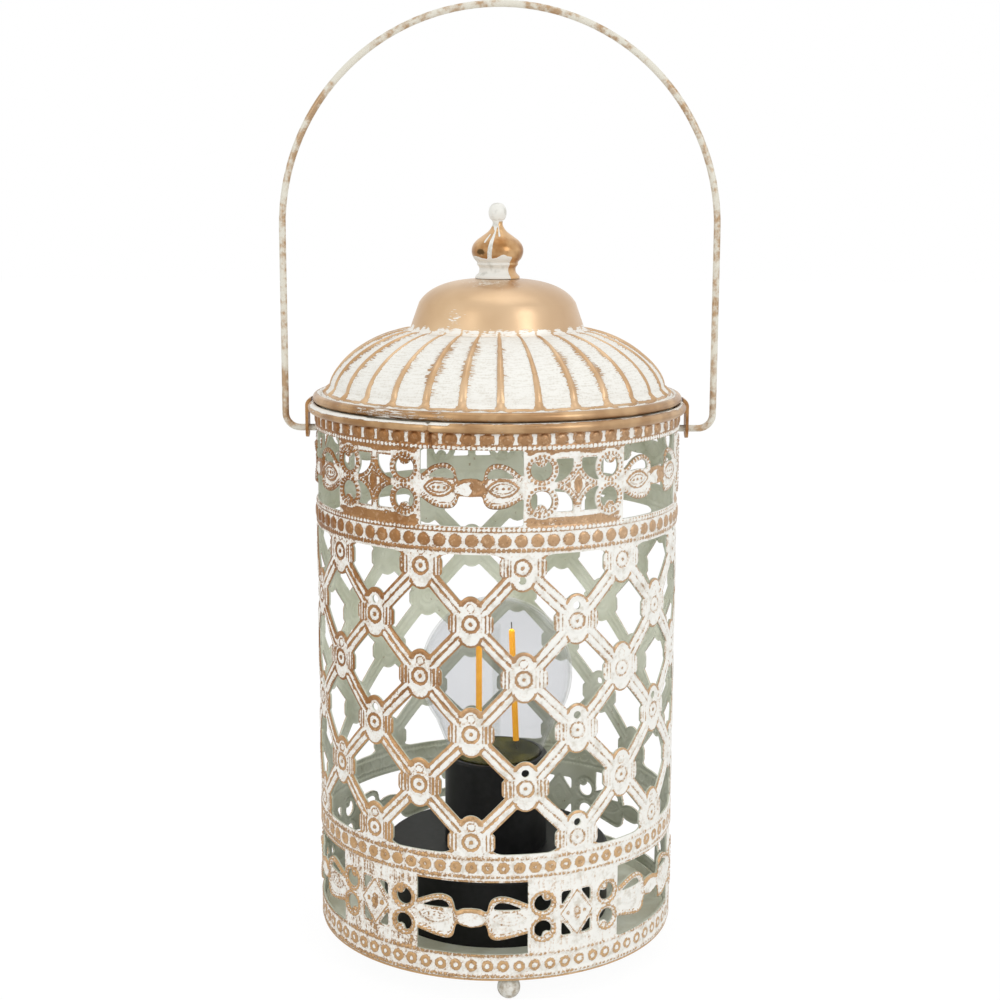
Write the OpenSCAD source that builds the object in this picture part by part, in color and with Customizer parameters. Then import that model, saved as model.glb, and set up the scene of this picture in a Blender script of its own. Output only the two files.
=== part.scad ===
// Lantern table lamp: a pierced sheet lantern on three ball feet, with a lift-off
// lid, a swinging bail and a battery light unit under a clear glass globe.
// The origin is on the ground at the lantern's axis, +Z is up, and -Y is the front.

/* [Wall] */
// Outer radius of the sheet wall
body_r = 75; // [70:1:80]
// Thickness of the sheet
sheet_t = 0.9; // [0.7:0.1:1.2]
// Height of each stamped frieze band, without the rolled rim
band_h = 51.5; // [50:0.5:53]
// Height from the foot of the wall to the middle of the rolled rim
rim_z = 220.4; // [219:0.2:223]
// Radius of the rolled rim's tube
roll_r = 2.0; // [1.8:0.1:2.2]
// Radius of the wires inside the rolled rims
wire_r = 1.05; // [0.8:0.05:1.1]

/* [Lattice] */
// Number of lattice columns round the wall
columns = 22; // [22:2:22]
// Number of lattice rows of crossings
rows = 6; // [6:1:6]
// Height from one row of crossings to the next
row_h = 21.9; // [21:0.1:22.4]
// Turn of the front column from the front, positive to the right
column_turn = -7.3; // [-16:0.1:16]
// Half width of a lattice bar
bar_w = 3.2; // [2.6:0.1:3.6]

/* [Foot] */
// Diameter of the ball feet
foot_d = 9.2; // [8:0.1:10]
// Height of the wall's lower edge above the ground
foot_h = 8.8; // [8:0.1:9]
// Thickness of the floor plate
floor_t = 0.8; // [0.6:0.1:1]
// Radius of the access hole in the floor plate
access_r = 38; // [37.5:0.5:38.5]

/* [Bail] */
// Radius of the bail wire
bail_wire_r = 1.4; // [1.4:0.1:1.6]
// Half width of the bail's arch, to the middle of the wire
bail_r = 89; // [88:0.5:92]
// How far the arch stands to the right of the lantern's axis, as it was bent by hand
bail_lean = 0.9; // [0:0.1:1.5]
// Height of the bail's pivots above the foot of the wall
pivot_z = 210.8; // [210:0.1:211]
// Height of the arch's centre above the foot of the wall
arch_z = 293; // [285:1:296]
// Width of the ears that hold the bail
ear_w = 8; // [7:0.5:9]

/* [Lid] */
// Radius where the fluted skirt meets the dome
skirt_top_r = 35.5; // [35:0.5:38]
// Radius of the skirt's foot
skirt_foot_r = 69; // [69:0.5:70.5]
// Height of the skirt
skirt_h = 22.6; // [22:0.2:25]
// Number of raised ribs on the skirt
ribs = 30; // [24:1:36]
// Turn of the front rib from the front, positive to the right
rib_turn = 1.2; // [-6:0.1:6]
// Height of the dome
dome_h = 21.6; // [19:0.2:22]
// Thickness of the lid's sheet
lid_t = 0.9; // [0.8:0.1:1.2]

/* [Light unit] */
// Radius of the base housing
unit_r = 48.5; // [48:0.5:49]
// Height of the base housing
unit_h = 28.6; // [28:0.2:29.2]
// Radius of the pedestal
pedestal_r = 22; // [21:0.5:23]
// Height of the pedestal
pedestal_h = 39.6; // [39:0.2:40.6]
// Radius of the glass globe
globe_r = 32.5; // [31:0.5:33.5]
// Height of the globe's centre above the pedestal's top
globe_rise = 35.5; // [34:0.5:36]

/* [Hidden] */

white_paint = "#e9e8df";
copper = "#c08a5b";
black_plastic = "#1c1c1e";
steel = "#a9a9a6";
sage_lacquer = "#a9ad9b";

round_fn = 96;
small_fn = 32;
cut = 1;                       // how far a cutter runs past the face it cuts
gap = 0.3;                     // play between parts that move past each other
fit = 0.06;                    // radial play of a wire or pin in its hole
hole_play = 0.2;               // radial play of a screw in a clearance hole

// ---- places that follow from the driving sizes ----
wall_in = body_r - sheet_t;
wall_z = foot_h;
lattice_z0 = wall_z + band_h;
lattice_z1 = wall_z + 172.8;
rim_cz = wall_z + rim_z;
roll_cr = wall_in + roll_r + 0.3;
roll_t = 0.85;
row_top_z = wall_z + 166.9;    // the upper row of crossings
column_a = 360 / columns;
column_pitch = 2 * PI * body_r / columns;
floor_z = wall_z + 1.0;
floor_top = floor_z + floor_t;
pivot_cz = wall_z + pivot_z;
arch_cz = wall_z + arch_z;

// turns a piece that is drawn along +X to the angle a from the front
module at(a) { rotate([0, 0, a - 90]) children(); }

// a straight prism through the wall, from an outline in (along the wall, up)
wall_cut = 4;                  // how far it reaches on both sides of the sheet
module through_wall(a, z) {
    at(a) translate([wall_in - wall_cut, 0, z]) rotate([90, 0, 90]) linear_extrude(sheet_t + 2 * wall_cut) children();
}

module wall_ring(z0, z1) {
    translate([0, 0, z0]) difference() {
        cylinder(h = z1 - z0, r = body_r, $fn = round_fn);
        translate([0, 0, -cut]) cylinder(h = z1 - z0 + 2 * cut, r = wall_in, $fn = round_fn);
    }
}

// ---- lattice ----
// Half sizes of an opening: where the bars' edges meet the side tabs and the lobes
node_half_w = 9.8;
node_half_h = 10.7;
open_w = column_pitch - node_half_w;
open_h = row_h - node_half_h;
bar_share = 1 - bar_w * norm([1 / column_pitch, 1 / row_h]);
function bar_edge_h(u) = row_h * (bar_share - u / column_pitch);
function bar_edge_w(h) = column_pitch * (bar_share - h / row_h);

module lattice_opening() {
    side = bar_edge_h(open_w);
    top = bar_edge_w(open_h);
    polygon([
        [open_w, -side], [open_w, side], [top, open_h], [-top, open_h],
        [-open_w, side], [-open_w, -side], [-top, -open_h], [top, -open_h]
    ]);
}

// The half openings that close the lattice at its upper and lower edge
half_edge = 5.1;
corner = 2;
module half_opening() {
    side = bar_edge_h(open_w);
    top = bar_edge_w(open_h);
    polygon([
        [open_w - corner, half_edge], [open_w, half_edge - corner], [open_w, -side], [top, -open_h],
        [-top, -open_h], [-open_w, -side], [-open_w, half_edge - corner], [corner - open_w, half_edge]
    ]);
}

module lattice_sheet() {
    color(white_paint) difference() {
        wall_ring(lattice_z0, lattice_z1);
        for (k = [0:columns - 1], row = [0:rows - 1])
            if ((k + row) % 2 == 0)
                through_wall(column_turn + k * column_a, row_top_z - row * row_h)
                    if (row == 0) half_opening();
                    else if (row == rows - 1) mirror([0, 1]) half_opening();
                    else lattice_opening();
    }
}

// ---- frieze bands ----
window_half_w = 22.6;
window_half_h = 14.9;
period_a = 4 * column_a;
// Half of the pierced window above the bows and the lozenge, seen from the middle
bow_top = [[0, 4.3], [5.4, 3.2], [6.4, 5.2], [7.6, 8.0], [12, 9.7], [17, 8.4], [21, 5.4], [22.6, 4.6]];
bow_foot = [[0, 3.9], [5.2, 2.9], [6.6, 5.2], [8.4, 8.2], [13, 9.1], [18, 7.2], [22.6, 5.6]];
function mirrored(half) = concat(
    [for (i = [len(half) - 1:-1:1]) [-half[i][0], half[i][1]]], half);

module window_part(half) {
    polygon(concat(
        mirrored(half), [[window_half_w, window_half_h], [-window_half_w, window_half_h]]));
}

module half_moon() {
    polygon([[9.2, 4.2], [9.0, 5.6], [10.8, 7.2], [13.8, 7.2], [17.4, 5.9], [20.2, 4.2]]);
}

// The holes between two windows: two pairs of ring holes and four round a diamond
ring_x = 14.6;
ring_z = 5.4;
ring_hole_r = 3.2;
module diamond_hole() {
    polygon([[6.8, 2.4], [7.0, 8.4], [5.0, 9.4], [2.2, 8.6]]);
}

module panel_holes() {
    for (side = [-1, 1]) {
        for (up = [-1, 1]) {
            translate([side * ring_x, up * ring_z]) rotate(22.5) circle(r = ring_hole_r, $fn = 8);
            scale_mirror(side, up) diamond_hole();
        }
    }
}

module scale_mirror(side, up) {
    mirror([side < 0 ? 1 : 0, 0]) mirror([0, up < 0 ? 1 : 0]) children();
}

module frieze_holes(z) {
    for (i = [-2:2]) {
        through_wall(column_turn + i * period_a, z) {
            window_part(bow_top);
            mirror([0, 1]) window_part(bow_foot);
            for (side = [-1, 1]) scale_mirror(side, 1) half_moon();
        }
    }
    for (i = [-3:2]) through_wall(column_turn + (i + 0.5) * period_a, z) panel_holes();
}

frieze_low_z = wall_z + 26.1;
frieze_high_z = wall_z + 197.5;

module rolled_edge(cr, cz, r, t) {
    rotate_extrude($fn = round_fn) translate([cr, cz]) difference() {
        circle(r = r, $fn = small_fn);
        circle(r = r - t, $fn = small_fn);
    }
}

module upper_frieze_band() {
    color(white_paint) difference() {
        union() {
            wall_ring(lattice_z1, rim_cz);
            rolled_edge(roll_cr, rim_cz, roll_r, roll_t);
        }
        frieze_holes(frieze_high_z);
        rotate_extrude($fn = round_fn) translate([roll_cr, rim_cz]) circle(r = roll_r - roll_t, $fn = small_fn);
    }
}

module lower_frieze_band() {
    color(white_paint) difference() {
        wall_ring(wall_z, lattice_z0);
        frieze_holes(frieze_low_z);
    }
}

module rim_wire() {
    color(steel) rotate_extrude($fn = round_fn) translate([roll_cr, rim_cz]) circle(r = wire_r, $fn = small_fn);
}

// ---- foot ----
foot_r = 70.6;
foot_turn = 4.4;
foot_count = 3;
lip_h = 5;
screw_circle_r = 42;
screw_count = 3;
screw_turn = 60;
screw_r = 1.5;

module for_screws() {
    for (i = [0:screw_count - 1])
        at(screw_turn + i * 360 / screw_count) translate([screw_circle_r, 0, 0]) children();
}

floor_r = wall_in - 0.05;       // the turned-up lip stands inside the wall
module floor_plate() {
    color(sage_lacquer) difference() {
        rotate_extrude($fn = round_fn) polygon([
            [access_r, floor_z], [floor_r, floor_z], [floor_r, floor_z + lip_h],
            [floor_r - floor_t, floor_z + lip_h], [floor_r - floor_t, floor_top], [access_r, floor_top]]);
        for_screws() translate([0, 0, floor_z - cut])
            cylinder(h = floor_t + 2 * cut, r = screw_r + hole_play, $fn = small_fn);
    }
}

// Each ball is flattened where it stands, and its stud is soldered to the floor plate
foot_flat = 0.25;
foot_stud_r = 2.2;
module ball_feet() {
    color(white_paint) for (i = [0:foot_count - 1])
        at(foot_turn + i * 360 / foot_count) translate([foot_r, 0, 0]) {
            intersection() {
                translate([0, 0, foot_d / 2 - foot_flat]) sphere(d = foot_d, $fn = small_fn);
                translate([-foot_d, -foot_d, 0]) cube([2 * foot_d, 2 * foot_d, 2 * foot_d]);
            }
            translate([0, 0, foot_d / 2]) cylinder(h = floor_z - foot_d / 2, r = foot_stud_r, $fn = small_fn);
        }
}

// ---- ears and bail ----
ear_t = 1.2;
ear_play = 0.05;
ear_out = roll_cr + roll_r + ear_play;
ear_foot_r = ear_w / 2;
ear_wrap = 0.9;                // where the strap starts, outside the middle of the rim
ear_far = 15;                  // size of the tools that shape the ears
ear_sector = ear_w / ear_out * 180 / PI;

// Section of the strap: it wraps the rolled rim from outside and hangs down past the wire's end
module ear_section() {
    difference() {
        union() {
            intersection() {
                translate([roll_cr, rim_cz]) circle(r = roll_r + ear_play + ear_t, $fn = small_fn);
                translate([roll_cr + ear_wrap, rim_cz - roll_r - cut]) square(ear_far);
            }
            translate([ear_out, pivot_cz - ear_foot_r]) square([ear_t, rim_cz - pivot_cz + ear_foot_r]);
        }
        translate([roll_cr, rim_cz]) circle(r = roll_r + ear_play, $fn = small_fn);
    }
}

module bail_ears() {
    color(copper) for (side = [0, 180]) rotate([0, 0, side]) difference() {
        intersection() {
            rotate([0, 0, -ear_sector / 2]) rotate_extrude(angle = ear_sector, $fn = round_fn) ear_section();
            union() {
                translate([body_r - cut, -ear_w, pivot_cz]) cube([ear_far, 2 * ear_w, ear_far]);
                translate([body_r - cut, 0, pivot_cz]) rotate([0, 90, 0]) cylinder(h = ear_far, r = ear_foot_r, $fn = small_fn);
            }
        }
        translate([body_r - cut, 0, pivot_cz]) rotate([0, 90, 0])
            cylinder(h = ear_far, r = bail_wire_r + fit, $fn = small_fn);
    }
}

bail_bend_r = 6;
bail_tip_x = body_r + 0.5;
// One side of the bail, up to the arch; the leg stands at x = reach
module bail_half(reach) {
    // the end that turns in the ear
    translate([bail_tip_x, 0, pivot_cz]) rotate([0, 90, 0])
        cylinder(h = reach - bail_bend_r - bail_tip_x, r = bail_wire_r, $fn = small_fn);
    // the bend up into the leg
    translate([reach - bail_bend_r, 0, pivot_cz + bail_bend_r]) rotate([90, 0, 0]) rotate([0, 0, -90])
        rotate_extrude(angle = 90, $fn = round_fn) translate([bail_bend_r, 0]) circle(r = bail_wire_r, $fn = small_fn);
    translate([reach, 0, pivot_cz + bail_bend_r])
        cylinder(h = arch_cz - pivot_cz - bail_bend_r, r = bail_wire_r, $fn = small_fn);
}

module bail_wire() {
    color(white_paint) {
        bail_half(bail_r + bail_lean);
        mirror([1, 0, 0]) bail_half(bail_r - bail_lean);
        translate([bail_lean, 0, arch_cz]) rotate([90, 0, 0])
            rotate_extrude(angle = 180, $fn = round_fn) translate([bail_r, 0]) circle(r = bail_wire_r, $fn = small_fn);
    }
}

// ---- lid ----
lid_roll_r = 1.75;
lid_roll_cr = 75.1;
lid_roll_cz = wall_z + 224.2;
skirt_z = wall_z + 229;
skirt_power = 1.6;
dome_z = skirt_z + skirt_h - 0.4;
dome_r = skirt_top_r - 0.8;
dome_power = 2.8;
rib_high = 0.8;
rib_a = 2.6;
steps = 10;

// A quarter of a rounded outline: radius a, height b, rounder as the power grows
function bulge(a, b, power, from, to) = [for (i = [0:steps])
    let (t = from + (to - from) * i / steps)
    [a * pow(cos(t), 2 / power), b * pow(sin(t), 2 / power)]];
function moved(points, r, z) = [for (p = points) [p[0] + r, p[1] + z]];
function backwards(points) = [for (i = [len(points) - 1:-1:0]) points[i]];

skirt_out = moved(bulge(skirt_foot_r - skirt_top_r, skirt_h, skirt_power, 0, 90), skirt_top_r, skirt_z);
skirt_in = moved(bulge(skirt_foot_r - skirt_top_r - lid_t, skirt_h - lid_t, skirt_power, 0, 90),
                 skirt_top_r, skirt_z);
// A rib stands proud of the skirt and reaches down to the middle of its sheet
skirt_a = skirt_foot_r - skirt_top_r;
rib_top = 78;
rib_foot = 3;
rib_out = moved(bulge(skirt_a + rib_high, skirt_h + rib_high, skirt_power, rib_foot, rib_top), skirt_top_r, skirt_z);
rib_in = moved(bulge(skirt_a - lid_t / 2, skirt_h - lid_t / 2, skirt_power, rib_foot, rib_top), skirt_top_r, skirt_z);
// The flare under the skirt: its outer corners, and its inner face from foot to top
flare_r = lid_roll_cr - 0.6;
flare_z = lid_roll_cz + 1.2;
flare_out = [[flare_r, flare_z + 0.3], [flare_r - 1.5, flare_z + 1.4]];
flare_foot = [flare_r - lid_t, flare_z - 0.5];
flare_top = [skirt_foot_r + 1.6, flare_z + 1];
function flare_inside(r) = flare_foot[1]
    + (flare_foot[0] - r) * (flare_top[1] - flare_foot[1]) / (flare_foot[0] - flare_top[0]);

module lid_skirt() {
    color(white_paint) difference() {
        union() {
            rotate_extrude($fn = round_fn)
                polygon(concat([flare_foot], flare_out, skirt_out, backwards(skirt_in), [flare_top]));
            rolled_edge(lid_roll_cr, lid_roll_cz, lid_roll_r, roll_t);
            for (i = [0:ribs - 1])
                at(rib_turn + i * 360 / ribs) rotate([0, 0, -rib_a / 2]) rotate_extrude(angle = rib_a, $fn = round_fn)
                    polygon(concat(rib_out, backwards(rib_in)));
        }
        rotate_extrude($fn = round_fn) translate([lid_roll_cr, lid_roll_cz])
            circle(r = lid_roll_r - roll_t, $fn = small_fn);
    }
}

module lid_wire() {
    color(steel) rotate_extrude($fn = round_fn) translate([lid_roll_cr, lid_roll_cz])
        circle(r = lid_roll_r - roll_t - fit, $fn = small_fn);
}

// The dome is a spun cap; its foot is turned out and soldered on the skirt
stud_r = 1.5;
dome_foot = [skirt_top_r + 2.2, skirt_z + skirt_h - 0.22];
dome_neck = [skirt_top_r + 0.6, dome_z + 1.6];
dome_seat = [skirt_top_r + 0.2, dome_z + 0.5];
module lid_dome() {
    out = moved(bulge(dome_r, dome_h, dome_power, 0, 90), 0, dome_z);
    inside = moved(bulge(dome_r - lid_t, dome_h - lid_t, dome_power, 0, 90), 0, dome_z);
    color(copper) difference() {
        rotate_extrude($fn = round_fn) polygon(concat(
            [dome_foot, dome_neck], [for (i = [1:steps]) out[i]], backwards(inside), [dome_seat]));
        translate([0, 0, dome_z]) cylinder(h = dome_h + cut, r = stud_r + hole_play, $fn = small_fn);
    }
}

// Ring inside the lid that drops into the rim and keeps the lid in place. Its top leans in
// and is soldered to the inside of the flare.
collar_r = wall_in - 0.9;
collar_t = 0.8;
collar_foot_z = wall_z + 214;
solder = 0.02;
module lid_collar() {
    top_r = flare_top[0];
    color(sage_lacquer) rotate_extrude($fn = round_fn) polygon([
        [collar_r, collar_foot_z], [collar_r, flare_inside(collar_r) - solder],
        [top_r, flare_inside(top_r) - solder], [top_r - collar_t, flare_inside(top_r) - solder],
        [collar_r - collar_t, flare_inside(collar_r) - collar_t / 2], [collar_r - collar_t, collar_foot_z]]);
}

finial_z = dome_z + dome_h;
module finial() {
    color(white_paint) difference() {
        rotate_extrude($fn = round_fn) polygon([
            [0, finial_z], [9.2, finial_z], [9.0, finial_z + 0.9], [7.7, finial_z + 2.4],
            [7.5, finial_z + 4.2], [8.4, finial_z + 5.6], [8.5, finial_z + 6.6], [9.8, finial_z + 8.2],
            [10.6, finial_z + 10.6], [10.3, finial_z + 13.0], [8.8, finial_z + 15.2],
            [6.2, finial_z + 17.2], [3.6, finial_z + 19.2], [2.2, finial_z + 21.4], [2.2, finial_z + 23.2],
            [3.1, finial_z + 24.2], [3.7, finial_z + 26.4], [3.3, finial_z + 28.6],
            [1.9, finial_z + 30.2], [0, finial_z + 30.6]]);
        translate([0, 0, finial_z - cut]) cylinder(h = thread_l + cut, r = stud_r, $fn = small_fn);
    }
}
thread_l = 8;

// The washer sits a little below the middle of the dome, where the dome already curves down
washer_t = 0.8;
washer_r = 6;
washer_z = finial_z - lid_t - washer_t - 0.2;
module finial_washer() {
    color(steel) translate([0, 0, washer_z]) difference() {
        cylinder(h = washer_t, r = washer_r, $fn = small_fn);
        translate([0, 0, -cut]) cylinder(h = washer_t + 2 * cut, r = stud_r + hole_play, $fn = small_fn);
    }
}

// A slotted screw with its head down: the head's top is at height z, and the shaft runs l up from it
module slotted_screw(z, head_r, head_h, r, l, slot_w) {
    difference() {
        translate([0, 0, z]) {
            translate([0, 0, -head_h]) cylinder(h = head_h, r = head_r, $fn = small_fn);
            translate([0, 0, -head_h / 2]) cylinder(h = l + head_h / 2, r = r, $fn = small_fn);
        }
        translate([-head_r - cut, -slot_w / 2, z - head_h - cut]) cube([2 * (head_r + cut), slot_w, head_h / 2 + cut]);
    }
}

module finial_screw() {
    color(steel) slotted_screw(washer_z, 3, 2, stud_r, finial_z + thread_l - washer_z, 1);
}

// ---- light unit ----
unit_t = 2;
unit_z = floor_top;
unit_top = unit_z + unit_h;
unit_edge = 1.4;               // bevel round the top
cover_t = 2;
cover_r = unit_r - unit_t - 0.1;
boss_r = 3.2;
thread_depth = 14;
wire_hole_r = 3;

module base_housing() {
    color(black_plastic) difference() {
        union() {
            translate([0, 0, unit_z]) difference() {
                rotate_extrude($fn = round_fn) polygon([
                    [0, 0], [unit_r, 0], [unit_r, unit_h - unit_edge], [unit_r - unit_edge, unit_h], [0, unit_h]]);
                translate([0, 0, -cut]) cylinder(h = unit_h - unit_t + cut, r = unit_r - unit_t, $fn = round_fn);
            }
            for_screws() translate([0, 0, unit_z + cover_t])
                cylinder(h = unit_h - cover_t - unit_t / 2, r = boss_r, $fn = small_fn);
        }
        for_screws() translate([0, 0, unit_z]) cylinder(h = thread_depth, r = screw_r, $fn = small_fn);
        translate([0, 0, unit_z]) cylinder(h = unit_h + cut, r = wire_hole_r, $fn = small_fn);
    }
}

// Battery bay: three cells side by side over a door in the base cover
cell_r = 7.2;
cell_l = 50.4;
cell_nose = 1.2;
cell_gap = 0.6;
cell_count = 3;
bay_l = 57;
bay_w = cell_count * (2 * cell_r + cell_gap) + 1;
bay_wall = 1.4;
bay_h = 17;
cell_z = unit_z + cover_t + cell_r + 1;
function cell_y(i) = (i - (cell_count - 1) / 2) * (2 * cell_r + cell_gap);

// The door hinges on a pin along its rear edge, in a notch of the cover
door_t = 1.6;
door_l = 56;
door_w = bay_w;
hinge_r = 1.6;
hinge_y = bay_w / 2 + bay_wall + hinge_r + gap;
hinge_z = unit_z + 1.2;
pin_r = 0.8;
knuckle_l = 10;
knuckle_x = 19;
mid_knuckle_l = 2 * knuckle_x - knuckle_l - 2 * gap;
pin_l = 2 * knuckle_x + knuckle_l;

// A tongue on the door's front edge lies under the cover and takes the closing screw
door_screw_r = 1.1;
door_screw_y = -door_w / 2 - 3;
tongue_w = 7;
tongue_t = 0.85;
tongue_front = door_screw_y - 3;

// Ribs on the door keep the cells up against their springs
door_rib_h = 1.1;
door_rib_x = 15;
door_rib_l = 40;
door_rib_t = 2;

// The slide switch in front of the door
switch_y = -32.5;
switch_travel = 3;
slider_l = 4;
slider_w = 3.4;
slider_h = 4.4;
slider_proud = 0.6;
switch_l = 12;
switch_w = 6.8;
switch_h = 6;
switch_room = 8.8;

module rounded_bar(x, l, r) {
    translate([x - l / 2, hinge_y, hinge_z]) rotate([0, 90, 0]) cylinder(h = l, r = r, $fn = small_fn);
}

module base_cover() {
    color(black_plastic) difference() {
        union() {
            difference() {
                translate([0, 0, unit_z]) cylinder(h = cover_t, r = cover_r, $fn = round_fn);
                translate([0, 0, unit_z - cut]) linear_extrude(cover_t + 2 * cut) {
                    square([door_l + 2 * gap, door_w + 2 * gap], center = true);
                    // the notch for the hinge
                    translate([-pin_l / 2 - gap, 0]) square([pin_l + 2 * gap, hinge_y + hinge_r + gap]);
                }
            }
            // walls and roof of the battery bay
            translate([0, 0, unit_z + cover_t]) linear_extrude(bay_h) difference() {
                square([bay_l + 2 * bay_wall, bay_w + 2 * bay_wall], center = true);
                square([bay_l, bay_w], center = true);
            }
            translate([0, 0, unit_z + cover_t + bay_h]) linear_extrude(bay_wall)
                square([bay_l + 2 * bay_wall, bay_w + 2 * bay_wall], center = true);
            // outer knuckles, joined to the cover behind them
            for (side = [-1, 1]) {
                rounded_bar(side * knuckle_x, knuckle_l, hinge_r);
                translate([side * knuckle_x - knuckle_l / 2, hinge_y, unit_z]) cube([knuckle_l, hinge_r + gap + cut, cover_t]);
            }
        }
        rounded_bar(0, pin_l + 2 * cut, pin_r + 0.01);
        for_screws() translate([0, 0, unit_z - cut]) cylinder(h = cover_t + 2 * cut, r = screw_r + hole_play, $fn = small_fn);
        // slot of the switch
        translate([-(slider_l + switch_travel) / 2 - gap, switch_y - slider_w / 2 - gap, unit_z - cut])
            cube([slider_l + switch_travel + 2 * gap, slider_w + 2 * gap, cover_t + 2 * cut]);
        // hole of the door screw
        translate([0, door_screw_y, unit_z - cut])
            cylinder(h = cover_t + 2 * cut, r = door_screw_r + hole_play, $fn = small_fn);
    }
}

module battery_door() {
    color(black_plastic) difference() {
        union() {
            translate([-door_l / 2, -door_w / 2, unit_z]) cube([door_l, door_w, door_t]);
            for (side = [-1, 1]) translate([side * door_rib_x - door_rib_t / 2, -door_rib_l / 2, unit_z + door_t / 2])
                cube([door_rib_t, door_rib_l, door_t / 2 + door_rib_h]);
            rounded_bar(0, mid_knuckle_l, hinge_r);
            translate([-mid_knuckle_l / 2, door_w / 2 - cut, unit_z])
                cube([mid_knuckle_l, hinge_y - door_w / 2 + cut, hinge_z - unit_z]);
            translate([-tongue_w / 2, tongue_front, unit_z - tongue_t - 0.05])
                cube([tongue_w, -door_w / 2 + 4 - tongue_front, tongue_t]);
            translate([-tongue_w / 2, -door_w / 2, unit_z - tongue_t - 0.05]) cube([tongue_w, 4, door_t]);
        }
        rounded_bar(0, pin_l, pin_r + 0.05);
        translate([0, door_screw_y, unit_z - door_t]) cylinder(h = door_t + cut, r = door_screw_r + 0.05, $fn = small_fn);
    }
}

module door_screw() {
    color(steel) translate([0, door_screw_y, 0])
        slotted_screw(unit_z - tongue_t - 0.1, 2.1, 1.2, door_screw_r - 0.05, 2.6, 0.6);
}

module door_pin() {
    color(steel) rounded_bar(0, pin_l, pin_r);
}

module unit_screws() {
    color(steel) for_screws() slotted_screw(floor_z, 2.9, 1.4, screw_r, thread_depth - 2, 0.8);
}

module battery_cells() {
    color("#8f9aa0") for (i = [0:cell_count - 1])
        translate([0, cell_y(i), cell_z]) rotate([0, i % 2 == 1 ? -90 : 90, 0]) translate([0, 0, -cell_l / 2]) {
            cylinder(h = cell_l - cell_nose, r = cell_r, $fn = small_fn);
            cylinder(h = cell_l, r = 2.6, $fn = small_fn);
        }
}

// A square plate at each end of a cell, with a cone for the spring or a round boss for the nose
contact_t = 0.4;
contact_w = 10;
module battery_contacts() {
    reach = bay_l / 2 - contact_t - cell_l / 2;
    color(steel) for (i = [0:cell_count - 1], end = [-1, 1]) {
        springy = end == (i % 2 == 0 ? -1 : 1);
        translate([end * (bay_l / 2 - contact_t / 2), cell_y(i), cell_z])
            cube([contact_t, contact_w, contact_w], center = true);
        translate([end * (cell_l / 2 + 0.05), cell_y(i), cell_z]) rotate([0, end * 90, 0])
            cylinder(h = reach, r1 = springy ? 2.2 : 1.6, r2 = springy ? 4 : 1.6, $fn = small_fn);
    }
}

board_z = unit_z + cover_t + bay_h + bay_wall;
board_l = 40;
board_w = 30;
board_t = 1.6;
module driver_board() {
    color("#2f6b45") translate([-board_l / 2, -board_w / 2, board_z]) {
        cube([board_l, board_w, board_t]);
        translate([4, 5, board_t]) cube([8, 6, 2]);
        translate([24, 16, board_t]) cube([10, 8, 3]);
        translate([14, 20, board_t]) cylinder(h = 3, r = 3, $fn = small_fn);
        translate([30, 6, board_t]) cylinder(h = 3, r = 2.5, $fn = small_fn);
    }
}

module switch_body() {
    color("#3a3a3c") translate([0, switch_y, unit_z + cover_t]) difference() {
        translate([-switch_l / 2, -switch_w / 2, 0]) cube([switch_l, switch_w, switch_h]);
        translate([-switch_room / 2, -slider_w / 2 - gap, -cut])
            cube([switch_room, slider_w + 2 * gap, switch_h / 2 + gap + cut]);
    }
}

module switch_slider() {
    color("#4a4a4c") translate([-(slider_l + switch_travel) / 2, switch_y - slider_w / 2, unit_z - slider_proud])
        cube([slider_l, slider_w, slider_h]);
}

// ---- pedestal, globe and filaments ----
pedestal_t = 1.8;
pedestal_top = unit_top + pedestal_h;
globe_cz = pedestal_top + globe_rise;
globe_t = 0.9;
neck_r = pedestal_r - 2.4;
neck_drop = 5;
neck_turn = 36;                // angle below the globe's middle where the neck begins

module pedestal() {
    shelf_z = pedestal_top - neck_drop;
    color(black_plastic) rotate_extrude($fn = round_fn) polygon([
        [pedestal_r - pedestal_t, unit_top], [pedestal_r, unit_top], [pedestal_r, pedestal_top - 0.8],
        [pedestal_r - 0.8, pedestal_top], [neck_r + 0.1, pedestal_top], [neck_r + 0.1, shelf_z],
        [neck_r - 3, shelf_z], [neck_r - 3, shelf_z - 1.6], [pedestal_r - pedestal_t, shelf_z - 1.6]]);
}

function globe_outline(r, neck) = concat(
    [[neck, pedestal_top - neck_drop], [neck, pedestal_top]],
    [for (t = [-neck_turn:6:89]) [r * cos(t), globe_cz + r * sin(t)]], [[0, globe_cz + r]]);

module globe_glass() {
    color("#e8eef0", 0.3) rotate_extrude($fn = round_fn) polygon(concat(
        globe_outline(globe_r, neck_r), backwards(globe_outline(globe_r - globe_t, neck_r - globe_t))));
}

plug_h = 5.4;
plug_top = pedestal_top - neck_drop + plug_h;
module globe_plug() {
    color("#5a6038") translate([0, 0, pedestal_top - neck_drop]) difference() {
        cylinder(h = plug_h, r = neck_r - globe_t - 0.1, $fn = round_fn);
        translate([0, 0, -cut]) cylinder(h = plug_h + 2 * cut, r = 1.2, $fn = small_fn);
    }
}

stem_r = 1.9;
stem_t = 0.6;
stem_l = globe_cz + 21 - plug_top;
stem_flare_h = 4;
module filament_stem() {
    color("#dfe8ea", 0.4) translate([0, 0, plug_top]) difference() {
        union() {
            cylinder(h = stem_l, r = stem_r, $fn = small_fn);
            cylinder(h = stem_flare_h, r1 = 5, r2 = stem_r, $fn = small_fn);
        }
        translate([0, 0, -cut]) cylinder(h = stem_l - cut, r = stem_r - stem_t, $fn = small_fn);
    }
}

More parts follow.
